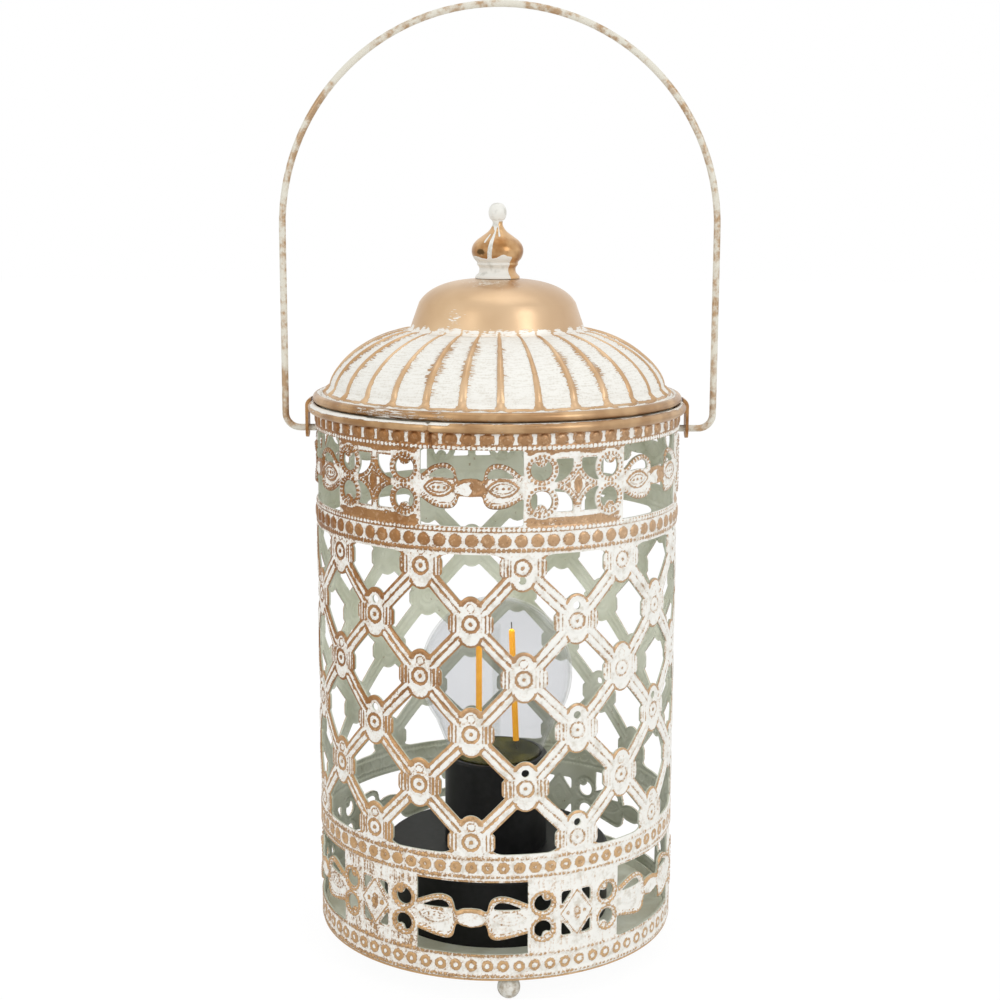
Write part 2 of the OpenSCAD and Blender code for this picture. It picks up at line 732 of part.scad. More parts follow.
filament_r = 1.3;
filament_l = 48.4;
filament_x = [7.4, 8.6];     // left and right of the stem
filament_y = 2.5;
filament_lean = 2.4;
filament_rise = 3.7;           // height of a filament's foot above the plug
module for_filaments() {
    for (side = [-1, 1]) translate([side > 0 ? filament_x[1] : -filament_x[0], side * filament_y, plug_top + filament_rise])
        rotate([0, side > 0 ? -filament_lean : 0, 0]) children();
}

module light_filaments() {
    color("#f5a623") for_filaments() {
        cylinder(h = filament_l, r = filament_r, $fn = small_fn);
        translate([0, 0, filament_l]) sphere(r = filament_r, $fn = small_fn);
    }
}

lead_r = 0.25;
lead_l = 3;
module filament_leads() {
    color(steel) for_filaments() {
        translate([0, 0, -filament_rise]) cylinder(h = filament_rise, r = lead_r, $fn = 16);
        translate([0, 0, filament_l + filament_r - 0.05]) cylinder(h = lead_l, r = lead_r, $fn = 16);
    }
}

upper_frieze_band();
lattice_sheet();
lower_frieze_band();
rim_wire();
floor_plate();
ball_feet();
bail_ears();
bail_wire();
lid_skirt();
lid_wire();
lid_dome();
lid_collar();
finial();
finial_screw();
finial_washer();
base_housing();
base_cover();
unit_screws();
pedestal();
globe_glass();
globe_plug();
filament_stem();
light_filaments();
filament_leads();
driver_board();
battery_cells();
battery_contacts();
battery_door();
door_screw();
door_pin();
switch_body();
switch_slider();
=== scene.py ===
# %% [markdown]
# # A pierced lantern table lamp
# The real lamp is a tube of stamped sheet metal, painted off-white over copper lacquer and rubbed until the
# copper shows. A fluted lid with a dome and a finial sits on its rim, a wire bail swings from two ears, and
# a battery light unit with a clear globe stands inside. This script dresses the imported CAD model: the frame
# is loaded first and never moves, and every new piece is drawn in the same frame, so nothing has to be
# fitted.

# %% Load the frame
import math
import bpy
import numpy as np
from mathutils import Matrix, Vector


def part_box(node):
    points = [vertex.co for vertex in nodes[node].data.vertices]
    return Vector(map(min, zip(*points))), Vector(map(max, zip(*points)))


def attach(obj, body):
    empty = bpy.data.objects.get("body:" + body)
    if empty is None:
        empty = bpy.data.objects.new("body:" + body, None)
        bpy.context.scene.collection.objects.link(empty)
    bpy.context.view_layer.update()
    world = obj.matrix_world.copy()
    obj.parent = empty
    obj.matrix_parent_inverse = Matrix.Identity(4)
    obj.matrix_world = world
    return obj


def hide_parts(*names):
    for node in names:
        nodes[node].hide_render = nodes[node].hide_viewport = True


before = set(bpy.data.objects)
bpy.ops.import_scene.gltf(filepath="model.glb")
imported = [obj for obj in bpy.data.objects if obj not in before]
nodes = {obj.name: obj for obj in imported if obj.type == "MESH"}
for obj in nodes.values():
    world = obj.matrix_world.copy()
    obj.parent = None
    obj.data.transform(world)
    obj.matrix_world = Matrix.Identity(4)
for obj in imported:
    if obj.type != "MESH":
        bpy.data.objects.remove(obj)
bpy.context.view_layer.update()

# %% [markdown]
# ## Camera, floor and light
# The photograph looks slightly down on the lantern from about 0.7 m, through a moderately long lens.
# Fitting the round rims and the straight sides gives the camera below. The picture is bright and soft: a
# white surround lights the lamp from everywhere, and three softboxes give the metal its long highlights.
# The surround is pure white for the camera and for mirror-like rays, but gentler as a light, so white paint
# keeps its shading. Two weak lamps inside stand for the glow of the light unit.

# %% Camera
MM = 0.001
scene = bpy.context.scene
scene.view_settings.view_transform = "Standard"

CAMERA_BACK, CAMERA_HEIGHT, CAMERA_SIDE = 708.0, 313.5, 0.95      # mm from the lamp's axis and the ground
CAMERA_PITCH, CAMERA_ROLL = 9.98, 0.18                            # degrees
FOCAL_PX, PICTURE_PX, SENSOR = 1708.5, 1000, 36.0                 # the focal length in pixels of the picture

camera_data = bpy.data.cameras.new("camera")
camera = bpy.data.objects.new("camera", camera_data)
scene.collection.objects.link(camera)
scene.camera = camera
camera_data.sensor_width = SENSOR
camera_data.lens = FOCAL_PX / PICTURE_PX * SENSOR
camera_data.clip_start, camera_data.clip_end = 0.05, 20
camera.location = (CAMERA_SIDE * MM, -CAMERA_BACK * MM, CAMERA_HEIGHT * MM)
camera.rotation_euler = (math.radians(90 - CAMERA_PITCH), math.radians(-CAMERA_ROLL), 0)
print("camera lens", round(camera_data.lens, 1), "mm")

# %% [markdown]
# ## Shader sums as Python
# Shaders are written as expressions. `Socket` wraps a node's output and adds a Math node for each operator,
# `Graph` makes any other node from its type, its settings and its inputs, and `Finish` is the graph of one
# material. Colours are blended with Mix nodes, because a Math node would turn them grey.

# %% The shader helpers
class Socket:
    """A node's output that can be added, subtracted and multiplied."""

    def __init__(self, graph, socket):
        self.graph, self.socket = graph, socket

    def __add__(self, other):
        return self.graph.maths("ADD", self, other)

    def __sub__(self, other):
        return self.graph.maths("SUBTRACT", self, other)

    def __rsub__(self, other):
        return self.graph.maths("SUBTRACT", other, self)

    def __mul__(self, other):
        return self.graph.maths("MULTIPLY", self, other)

    __radd__, __rmul__ = __add__, __mul__


class Graph:
    """A node tree whose nodes are made from their type, settings and inputs."""

    def __init__(self, tree):
        self.tree = tree

    def node(self, kind, settings=None, inputs=None, output=0):
        made = self.tree.nodes.new("ShaderNode" + kind)
        for key, value in (settings or {}).items():
            setattr(made, key, value)
        for key, value in (inputs or {}).items():
            if isinstance(value, Socket):
                self.tree.links.new(value.socket, made.inputs[key])
            else:
                made.inputs[key].default_value = value
        return Socket(self, made.outputs[output])

    def maths(self, operation, a, b):
        return self.node("Math", {"operation": operation}, {0: a, 1: b})

    def end_with(self, shader):
        """Makes this the shader that the whole surface shows."""
        self.tree.links.new(shader.socket, self.tree.nodes["Material Output"].inputs["Surface"])


class Finish(Graph):
    """A material with one Principled shader; what the shader doesn't vary is set on its own sockets."""

    def __init__(self, name, **plain):
        self.material = bpy.data.materials.new(name)
        self.material.use_nodes = True
        super().__init__(self.material.node_tree)
        self.shader = self.tree.nodes["Principled BSDF"]
        for socket, value in plain.items():
            self.shader.inputs[socket.replace("_", " ")].default_value = value

    def drive(self, **sockets):
        """Links values to the shader's own inputs and hands over the finished material."""
        for name, value in sockets.items():
            self.tree.links.new(value.socket, self.shader.inputs[name.replace("_", " ")])
        return self.material

    def place(self):
        return self.node("TexCoord", output="Object")

    def painted(self, name):
        """A number that the mesh carries at each vertex."""
        return self.node("Attribute", {"attribute_name": name}, output="Fac")

    def noise(self, scale, detail=3.0, rough=0.55, at=None):
        inputs = {"Vector": at or self.place(), "Scale": scale, "Detail": detail, "Roughness": rough}
        return self.node("TexNoise", None, inputs, "Fac")

    def brushwork(self, detail, rough, around, up):
        """Noise drawn out along the brush. The mesh gives the way round and up each piece as "way"."""
        way = self.node("Attribute", {"attribute_name": "way"}, output="Vector")
        way = self.node("VectorMath", {"operation": "MULTIPLY"}, {0: way, 1: (around, up, 0)})
        return self.noise(1.0, detail, rough, way)

    def cut(self, value, low, high):
        """0 below low, 1 above high and a smooth turn between them."""
        settings = {"interpolation_type": "SMOOTHSTEP"}
        return self.node("MapRange", settings, {"Value": value, "From Min": low, "From Max": high})

    def blotch(self, low, high, *noise):
        """Noise as cut() leaves it: 0 between the blotches and 1 in them."""
        return self.cut(self.noise(*noise), low, high)

    def blend(self, a, b, factor):
        """Colour a where the factor is 0 and b where it is 1."""
        return self.node("Mix", {"data_type": "RGBA"}, {"Factor": factor, 6: a, 7: b}, 2)

    def bump(self, height, distance, strength=1.0):
        inputs = {"Height": height, "Distance": distance, "Strength": strength}
        return self.node("Bump", None, inputs)


def rgb(red, green, blue):
    """A colour given as the picture shows it (0 to 255), as the linear numbers that a shader takes."""
    def linear(c):
        c = c / 255
        return c / 12.92 if c < 0.04045 else ((c + 0.055) / 1.055) ** 2.4
    return (linear(red), linear(green), linear(blue), 1.0)

# %% [markdown]
# ## Floor and surround
# The floor is part of the set. Camera rays see it as plain white with the lamp's
# soft contact shadow, which comes from mixing a lit diffuse shader with a little plain white. Its underside
# is clear, so a view from below shows the battery door and the switch.

# %% Floor
FLOOR_HALF = 6.0                                   # m
FLOOR_GREY = (0.86, 0.86, 0.86, 1)
FLOOR_GLOW, GLOW_STRENGTH = 0.92, 1.03             # share of plain white in what the camera sees

floor_mesh = bpy.data.meshes.new("floor")
floor_mesh.from_pydata([(x, y, 0) for x, y in ((-1, -1), (1, -1), (1, 1), (-1, 1))], [], [(0, 1, 2, 3)])
floor_mesh.transform(Matrix.Scale(FLOOR_HALF, 4))
floor = bpy.data.objects.new("floor", floor_mesh)
scene.collection.objects.link(floor)
floor_paint = Finish("floor_paint", Roughness=0.9, Specular_IOR_Level=0.1)
floor_paint.shader.inputs["Base Color"].default_value = FLOOR_GREY
glow = floor_paint.node("Emission", None, {"Color": (1, 1, 1, 1), "Strength": GLOW_STRENGTH})
lit = Socket(floor_paint, floor_paint.shader.outputs[0])
seen = floor_paint.node("LightPath", output="Is Camera Ray") * FLOOR_GLOW
top_side = floor_paint.node("MixShader", None, {0: seen, 1: lit, 2: glow})
underneath, clear = floor_paint.node("NewGeometry", output="Backfacing"), floor_paint.node("BsdfTransparent")
floor_paint.end_with(floor_paint.node("MixShader", None, {0: underneath, 1: top_side, 2: clear}))
floor_mesh.materials.append(floor_paint.material)

# %% World and softboxes
SURROUND_LIGHT = 0.86
world = bpy.data.worlds.new("surround")
world.use_nodes = True
scene.world = world
sky = Graph(world.node_tree)
back = sky.tree.nodes["Background"]
back.inputs["Color"].default_value = (1, 1, 1, 1)
camera_ray, glossy_ray, clear_ray = (sky.node("LightPath", output="Is %s Ray" % kind)
                                     for kind in ("Camera", "Glossy", "Transmission"))
pure_white = sky.maths("MAXIMUM", sky.maths("MAXIMUM", camera_ray, glossy_ray), clear_ray)
strength = sky.node("MapRange", None, {"Value": pure_white, "To Min": SURROUND_LIGHT})
sky.tree.links.new(strength.socket, back.inputs["Strength"])


def softbox(name, place, aim, width, height, power):
    """A rectangular area lamp that faces the point aim."""
    data = bpy.data.lights.new(name, "AREA")
    data.shape, data.size, data.size_y, data.energy = "RECTANGLE", width, height, power
    lamp = bpy.data.objects.new(name, data)
    scene.collection.objects.link(lamp)
    lamp.location = place
    lamp.rotation_euler = (Vector(aim) - Vector(place)).to_track_quat("-Z", "Y").to_euler()
    return lamp


MIDDLE = (0, 0, 0.18)
softbox("key_box", (1.05, -1.15, 0.85), MIDDLE, 0.55, 1.0, 4.2)
softbox("fill_box", (-0.95, -1.2, 0.6), MIDDLE, 0.4, 1.0, 2.3)
softbox("top_box", (0.1, 0.1, 1.5), MIDDLE, 0.9, 0.9, 1.6)
bulb_box = softbox("bulb_box", (0, 0, 0.16), (0, 0, 0), 0.04, 0.04, 0.05)
bulb_data = bpy.data.lights.new("bulb_glow", "POINT")
bulb_data.energy, bulb_data.shadow_soft_size = 0.055, 0.02
bulb = bpy.data.objects.new("bulb_glow", bulb_data)
scene.collection.objects.link(bulb)
bulb.location = (0, 0, 0.165)
bulb.visible_glossy = bulb_box.visible_glossy = False

# %% [markdown]
# ## Driving sizes
# Millimetres are handier than metres for stamped metal, so drawing happens in millimetres and one helper
# turns the points into metres. What the frame already knows, such as the wall's radius, is read from it.

# %% Sizes, most of them from the frame
def extent(node):
    """Lowest and highest corner of a CAD node, in mm."""
    low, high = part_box(node)
    return np.array(low) / MM, np.array(high) / MM


WALL_R = extent("lattice_sheet")[1][0]
SHEET = 0.9
FOOT = extent("lower_frieze_band")[0][2]
LATTICE_LOW, LATTICE_HIGH = (extent("lattice_sheet")[i][2] - FOOT for i in (0, 1))
ROLL_TOP = extent("upper_frieze_band")[1][2] - FOOT
ROLL_OUT = extent("upper_frieze_band")[1][0]
ROLL = 2.0
ROLL_R, ROLL_Z = ROLL_OUT - ROLL, ROLL_TOP - ROLL
print("wall radius %.1f, foot of the wall at %.1f, lattice from %.1f to %.1f" %
      (WALL_R, FOOT, LATTICE_LOW, LATTICE_HIGH))

# %% [markdown]
# ## Meshes from arrays
# The stamped sheet has about a hundred thousand points, so its faces are worked out with numpy and handed
# to Blender in one go. Numbers that the finish needs, such as how much white paint a point holds, go with
# the mesh as attributes.

# %% Making an object from arrays
def make(name, points, faces, body, material, numbers, way=None, sharp=50):
    """A mesh object from points in mm and faces of four corners, with its body, finish and material slot. It
    carries numbers for the finish at its points and, as way, the distance round and up the piece in mm."""
    mesh = bpy.data.meshes.new(name)
    points = np.asarray(points, float) * MM
    mesh.vertices.add(len(points))
    mesh.vertices.foreach_set("co", points.astype(np.float32).ravel())
    mesh.loops.add(faces.size)
    mesh.loops.foreach_set("vertex_index", faces.astype(np.int32).ravel())
    mesh.polygons.add(len(faces))
    mesh.polygons.foreach_set("loop_start", np.arange(0, faces.size, 4, np.int32))
    mesh.update(calc_edges=True)
    mesh.validate()
    for key, values in numbers.items():
        mesh.attributes.new(key, "FLOAT", "POINT").data.foreach_set("value", np.asarray(values, np.float32))
    if way:
        around, up = way
        vectors = np.stack([around, up, 0 * up], -1).astype(np.float32)
        mesh.attributes.new("way", "FLOAT_VECTOR", "POINT").data.foreach_set("vector", vectors.ravel())
    mesh.polygons.foreach_set("use_smooth", np.ones(len(mesh.polygons), bool))
    mesh.set_sharp_from_angle(angle=math.radians(sharp))
    made = bpy.data.objects.new(name, mesh)
    scene.collection.objects.link(made)
    mesh.materials.append(material)
    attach(made, body)
    return made


def thin_out(piece, triangles):
    """Fewer faces where the sheet is flat, until about this many triangles are left."""
    piece.data.calc_loop_triangles()
    have = len(piece.data.loop_triangles)
    if have > triangles:
        modifier = piece.modifiers.new("thin_out", "DECIMATE")
        modifier.ratio = triangles / have
        graph = bpy.context.evaluated_depsgraph_get()
        mesh = bpy.data.meshes.new_from_object(piece.evaluated_get(graph))
        piece.modifiers.clear()
        piece.data = mesh
        mesh.name = piece.name
    print(piece.name, "has", len(piece.data.polygons), "faces, from", have)


def turned(outline, segments):
    """Points and faces of a lathe-turned shape. The outline is (radius, height) in mm, closed, and runs with
    the solid on its left. Also returns each point's angle and its distance along the outline."""
    outline = np.asarray(outline, float)
    angle = np.arange(segments) / segments * 2 * math.pi
    r, z = outline[:, :1], outline[:, 1:]
    points = np.stack([r * np.sin(angle), -r * np.cos(angle), z + 0 * angle], -1).reshape(-1, 3)
    rows, here = np.arange(len(outline)), np.arange(segments)
    there = np.roll(here, -1)
    faces = [np.stack([a + here, a + there, b + there, b + here], -1)
             for a, b in zip(rows * segments, np.roll(rows, -1) * segments)]
    length = np.concatenate([[0], np.cumsum(np.hypot(*np.diff(outline, axis=0).T))])
    return points, np.concatenate(faces), np.tile(angle, len(outline)), np.repeat(length, segments)

# %% [markdown]
# ## The stamped pattern
# The wall is one flat pattern wrapped round the tube. `s` is the distance round the wall and `z` the
# height, both in mm, and three numbers describe each place: how far the metal is pushed out, how much white
# paint has survived in it, and how deep it lies inside a punched hole. Distances to circles, rounded blocks
# and smooth lines are enough to draw all of them. The same drawing is used twice: once on a grid to make
# the mesh, and once more at the rims of the holes, to move the mesh onto their true outline.

# %% Distances and ridges
def step(edge, soft, x):
    """0 below the edge and 1 above it, turning over a width of soft."""
    t = np.clip((x - edge) / soft + 0.5, 0, 1)
    return t * t * (3 - 2 * t)


def under(edge, soft, x):
    """The other way round: 1 below the edge and 0 above it."""
    return 1 - step(edge, soft, x)


def band(low, high, soft, x):
    """1 between two edges."""
    return step(low, soft, x) * under(high, soft, x)


def hump(x, at, wide):
    """A soft hump: 1 at one place and almost 0 from two widths away."""
    return np.exp(-((x - at) / wide) ** 2)


def ridge(distance, half):
    """A rounded ridge or bead: 1 in the middle, 0 from half on."""
    return np.sqrt(np.clip(1 - (distance / half) ** 2, 0, 1))


def meet(a, b, soft):
    """The smaller of two distances, with the corner between them rounded."""
    h = np.clip(0.5 + 0.5 * (b - a) / soft, 0, 1)
    return b + (a - b) * h - soft * h * (1 - h)


def block(x, z, half_w, half_h, r):
    """Distance to a rectangle with corners of radius r."""
    dx, dz = np.abs(x) - half_w + r, np.abs(z) - half_h + r
    return np.hypot(np.maximum(dx, 0), np.maximum(dz, 0)) + np.minimum(np.maximum(dx, dz), 0) - r


def outline(x, z, points):
    """Distance to a closed outline, negative inside."""
    nearest = np.full(np.shape(x), 1e9)
    inside = np.zeros(np.shape(x), bool)
    for (x0, z0), (x1, z1) in zip(points, np.roll(points, -1, 0)):
        ex, ez = x1 - x0, z1 - z0
        t = np.clip(((x - x0) * ex + (z - z0) * ez) / (ex * ex + ez * ez), 0, 1)
        nearest = np.minimum(nearest, np.hypot(x - x0 - t * ex, z - z0 - t * ez))
        if z0 != z1:
            inside ^= ((z0 > z) != (z1 > z)) & (x < x0 + (z - z0) * ex / (z1 - z0))
    return np.where(inside, -nearest, nearest)


def along(x, z, points):
    """Distance to an open line, and how far along it the nearest place is."""
    nearest, where, done = np.full(np.shape(x), 1e9), np.zeros(np.shape(x)), 0.0
    for (x0, z0), (x1, z1) in zip(points[:-1], points[1:]):
        length = math.hypot(x1 - x0, z1 - z0)
        t = np.clip(((x - x0) * (x1 - x0) + (z - z0) * (z1 - z0)) / length**2, 0, 1)
        d = np.hypot(x - x0 - t * (x1 - x0), z - z0 - t * (z1 - z0))
        closer = d < nearest
        nearest, where = np.where(closer, d, nearest), np.where(closer, done + t * length, where)
        done += length
    return nearest, where


def smooth_line(points, closed=False, steps=4):
    """A smooth line that passes through each of a few points."""
    p = [np.array(q, float) for q in points]
    p = [p[-1]] + p + p[:2] if closed else [2 * p[0] - p[1]] + p + [2 * p[-1] - p[-2]]
    made = []
    for a, b, c, d in zip(p[:-3], p[1:-2], p[2:-1], p[3:]):
        for t in np.arange(steps) / steps:
            made.append(0.5 * (2 * b + (c - a) * t + (2 * a - 5 * b + 4 * c - d) * t**2
                               + (3 * b - a - 3 * c + d) * t**3))
    return np.array(made if closed else made + [p[-2]])


def patches(s, z, wide, high, seed=0):
    """Soft random patches from 0 to 1, of about this width and height in mm."""
    a, b = s / wide, z / high
    i, j = np.floor(a), np.floor(b)
    a, b = a - i, b - j
    a, b = a * a * (3 - 2 * a), b * b * (3 - 2 * b)

    def luck(i, j):
        return (np.sin(i * 127.1 + j * 311.7 + seed * 74.7) * 43758.5453) % 1

    low = luck(i, j) * (1 - a) + luck(i + 1, j) * a
    high_row = luck(i, j + 1) * (1 - a) + luck(i + 1, j + 1) * a
    return low * (1 - b) + high_row * b

# %% A sheet being stamped
WALL_ROUND = 2 * math.pi * WALL_R
OPEN, SOLID = 9.0, -9.0


class Stamp:
    """Relief in mm, white paint from 0 (copper) to 1, and the distance into a hole, at each place."""

    def __init__(self, s, z):
        self.s, self.z = s, z
        self.relief = np.zeros(s.shape)
        self.white = np.full(s.shape, 0.85)
        self.hole = np.full(s.shape, SOLID)

    def press(self, height):
        """Pushes the metal out to this height where it is lower."""
        self.relief = np.maximum(self.relief, height)

    def paint(self, where, white):
        """Leaves this much paint where the mask is 1."""
        self.white = self.white * (1 - where) + white * where

    def punch(self, distance):
        """Opens a hole where the distance is negative."""
        self.hole = np.maximum(self.hole, -distance)

    def take(self, other, where):
        """Copies another stamping where the mask is true."""
        for name in ("relief", "white", "hole"):
            getattr(self, name)[where] = getattr(other, name)[where]


ROPE_HIGH, ROPE_EDGE = 0.55, 0.38                  # the beads' height in mm, and the paint along both edges


def rope(stamp, distance, way, on, pitch=1.7, wide=1.0, core=0.92):
    """A white ridge with copper beads on it, along the line where distance is 0. core is the paint between
    the beads."""
    bead = np.hypot(distance, ((way / pitch) % 1 - 0.5) * pitch)
    stamp.press(on * ROPE_HIGH * (ridge(bead, 0.85) + 0.6 * ridge(distance, wide)))
    stamp.paint(on * under(1.2 * wide, 0.4, np.abs(distance)), 0.92)
    stamp.paint(on * under(0.16, 0.25, np.abs(np.abs(distance) - 1.2 * wide)), ROPE_EDGE)
    stamp.paint(on * under(0.3, 0.3, np.abs(distance)), core)
    stamp.paint(on * under(0.6, 0.35, bead), 0.04)

# %% [markdown]
# ## Lattice
# The middle of the wall is a diagonal lattice. Every crossing carries a rosette with a lobe above and below
# it and a ribbed tab on either side, and some crossings have a small round hole. Each place is folded onto
# its nearest crossing, so the crossing is drawn only once.

# %% The lattice
COLUMNS = 22
COLUMN = WALL_ROUND / COLUMNS
ROW = 21.9                               # from one row of crossings to the next
TURN = math.radians(-7.3) * WALL_R       # where the first column stands, from the front
TOP_ROW = 166.9                          # height of the top row of crossings
BAR_HALF = 3.2
PUNCHED = ((-2, 1), (2, 1), (-2, 3), (2, 3), (1, 4), (2, 5), (1, 0))        # column and row
LATTICE = (52.3, 172.0)                  # where the openings end, below and above
LOBE_AT, LOBE_R, ROSETTE_R = 5.3, 4.8, 6.4
TAB_HALF_W, TAB_HALF_H, RIB_PITCH = 9.4, 3.5, 1.55
SPOT_AT, SPOT_R = 6.1, 1.55              # the small hole or dimple over each rosette


def hand_set(s, z):
    """The sheet was rolled by hand, so its columns drift a little towards the top."""
    drift = np.interp(s, (-110, -52, -30, -10, 10, 32, 80, 130), (0, 1.4, 1.4, -0.3, -2.0, -1.5, -1.2, 0))
    return s - TURN - drift * np.clip((z - 70) / 95, 0, 1)


def lattice(stamp):
    """Stamps the lattice, each place drawn as a part of its nearest crossing."""
    i = hand_set(stamp.s, stamp.z) / COLUMN
    j = (TOP_ROW - stamp.z) / ROW
    a, b = np.round((i + j - 1) / 2), np.round((i - j - 1) / 2)
    column, row = a + b + 1, a - b
    x, z = (i - column) * COLUMN, (row - j) * ROW
    above_bar = (np.abs(z) / ROW - np.abs(x) / COLUMN) / math.hypot(1 / COLUMN, 1 / ROW)
    off_bar = np.abs(above_bar)

    # the outline: two lobes, two tabs and the rosette, with the bars between them
    lift = z - 0.7
    from_lobe = np.hypot(x, np.abs(lift) - LOBE_AT)
    lobe = from_lobe - LOBE_R
    tab = block(x, z, TAB_HALF_W, TAB_HALF_H, 1.6)
    blob = meet(meet(lobe, tab, 1.0), np.hypot(x, z) - ROSETTE_R, 1.0)
    edge = np.minimum(LATTICE[1] - stamp.z, stamp.z - LATTICE[0])
    stamp.punch(-meet(meet(off_bar - BAR_HALF, blob, 0.9), edge, 2.6))

    # the bars: two ridges, worn to copper along both sides and less so towards the right
    bar = step(-0.6, 0.8, blob) * step(0.6, 0.8, edge)
    across = np.where(z > 0, 1, -1) * above_bar
    stamp.press(0.55 * ridge(off_bar - 1.25, 1.0) * bar)
    stamp.paint(bar, 0.95)
    whiter = step(8, 40, stamp.s)
    notch = 0.2 + 0.5 * patches(stamp.s, stamp.z, 1.6, 1.6, 4)
    thick = patches(stamp.s, stamp.z, 11, 7, 5)
    stamp.paint(bar * under(notch, 0.35, off_bar), 0.1 + 0.3 * whiter)
    stamp.paint(bar * step(1.8 + 0.5 * thick + 0.4 * whiter, 0.4, across), 0.06 + 0.2 * whiter)
    stamp.paint(bar * step(2.3 + 0.3 * thick, 0.4, -across), 0.1 + 0.2 * whiter)

    # the ribbed tabs
    ribbed = under(0, 0.5, tab) * step(4.6, 0.5, np.abs(x))
    rib = np.cos((np.abs(x) - LOBE_AT) * 2 * math.pi / RIB_PITCH)
    stamp.press(0.45 * np.clip(0.55 + 0.45 * rib, 0, 1) * ribbed)
    stamp.paint(ribbed, 0.92)
    stamp.paint(ribbed * step(0.1, 0.5, -rib), 0.12 + 0.3 * whiter)
    stamp.paint(ribbed * step(8.6, 0.6, np.abs(x)), 0.14 + 0.3 * whiter)

    # the lobes, with a copper edge
    rim = under(0.2, 0.5, lobe) * step(4.2, 0.8, np.abs(lift))
    stamp.paint(rim, 0.93)
    bare = step(np.where(z > 0, 2.9 + whiter, 4.0), 0.5, from_lobe) * step(6.2, 1.4, np.abs(lift))
    stamp.paint(rim * bare, 0.05)
    stamp.press(0.35 * ridge(from_lobe - 3.9, 0.8) * step(5.0, 0.6, np.abs(lift)))

    # the rosette: a boss and two rings
    r = np.hypot(x, z)
    stamp.press(0.55 * ridge(r - 1.75, 0.85))
    stamp.press(0.5 * ridge(r, 0.8))
    stamp.press(0.4 * ridge(r - 4.1, 0.7))
    stamp.paint(under(4.6, 0.4, r), 0.94)
    stamp.paint(band(2.6, 3.7, 0.35, r), 0.04 + 0.34 * whiter)
    stamp.paint(under(0.8, 0.35, r), 0.1 + 0.2 * whiter)

    # the small holes, and dimples where there is none
    above = np.where((column == 1) & (row == 0), -4.9, SPOT_AT)
    spot = np.hypot(x, z - above)
    through = np.zeros(x.shape, bool)
    for c, r in PUNCHED:
        through |= (column == c) & (row == r)
    through |= (np.abs(column) > 3) & ((column * 3 + row * 5) % 4 == 3)
    stamp.punch(np.where(through, spot - SPOT_R, OPEN))
    stamp.relief -= 0.4 * ridge(spot, 1.9) * ~through
    stamp.paint(band(1.4, 1.9, 0.3, spot) * ~through, 0.42)
    return stamp

# %% [markdown]
# ## Friezes
# Above and below the lattice runs a frieze: windows with two leaf-shaped bows joined by a lozenge, and
# between them panels with four curled rings round a diamond. The two friezes are the same idea, stamped
# with different tools, so one drawing takes both sets of sizes. The fields round the upper rings are rubbed
# down to copper, and the lower panels kept nearly all their white.

# %% Sizes of the two friezes
FRIEZE = 4 * COLUMN                      # one window and one panel
FRIEZE_HALF = 15.6


class Upper:
    middle, half_w, half_h, drift = 197.5, 21.3, 14.6, 1.0
    bow_top = smooth_line([(0, 3.8), (3.0, 3.5), (4.9, 2.9), (5.6, 4.4), (6.4, 7.2), (8.8, 9.1), (12.0, 9.5),
                           (16.5, 8.2), (20.4, 5.2), (24, 3.6)])
    bow_foot = smooth_line([(0, 3.2), (3.4, 3.0), (4.9, 3.4), (5.8, 5.8), (7.8, 7.6), (11.5, 7.9),
                            (15.5, 7.2), (19.5, 5.2), (22, 3.6), (24, 3.0)])
    moon = smooth_line([(7.3, 3.7), (7.5, 6.0), (9.6, 7.3), (12.6, 7.3), (15.8, 5.9), (17.6, 3.9),
                        (12.5, 4.0)], closed=True)
    almond_x, almond_r, almond_drop = 13.4, 8.2, 4.8
    ring_x, ring_z, ring_r, lift, bite = 14.3, 6.1, 4.1, 0.8, (0.2, 3.4, 2.3)
    star_w, star_h, gap_top, gap_side, gap_far = 7.4, 7.4, 10.2, 1.6, 14.3
    copper, core = 1.0, 0.92


class Lower:
    middle, half_w, half_h, drift = 26.1, 22.6, 14.9, 0.0
    bow_top = smooth_line([(0, 3.9), (3.5, 3.5), (5.6, 2.6), (6.5, 3.6), (7.1, 6.0), (8.4, 7.9), (11.2, 8.9),
                           (14.8, 8.6), (18.8, 7.1), (22.6, 5.4), (24, 5.0)])
    bow_foot = smooth_line([(0, 3.9), (3.5, 3.5), (5.6, 2.6), (6.5, 4.4), (7.3, 7.6), (9.4, 9.0), (12.6, 8.8),
                            (16.4, 8.0), (20.2, 7.1), (24, 6.2)])
    moon = smooth_line([(9.2, 3.6), (9.3, 5.2), (11.2, 6.5), (14.2, 6.3), (17.4, 5.1), (19.8, 3.5),
                        (14, 3.3)], closed=True)
    almond_x, almond_r, almond_drop = 14.9, 9.8, 6.9
    ring_x, ring_z, ring_r, lift, bite = 14.3, 5.4, 3.5, 0.2, (-1.6, 2.9, 1.9)
    star_w, star_h, gap_top, gap_side, gap_far = 6.7, 9.0, 9.3, 1.9, 6.6
    copper, core = 0.0, 0.1


def clear_of(x, z, line):
    """Distance above a line that runs from left to right."""
    height = np.interp(x, line[:, 0], line[:, 1])
    slope = np.interp(x, line[:-1, 0], np.diff(line[:, 1]) / np.maximum(np.diff(line[:, 0]), 0.05))
    return (z - height) / np.hypot(1, slope)

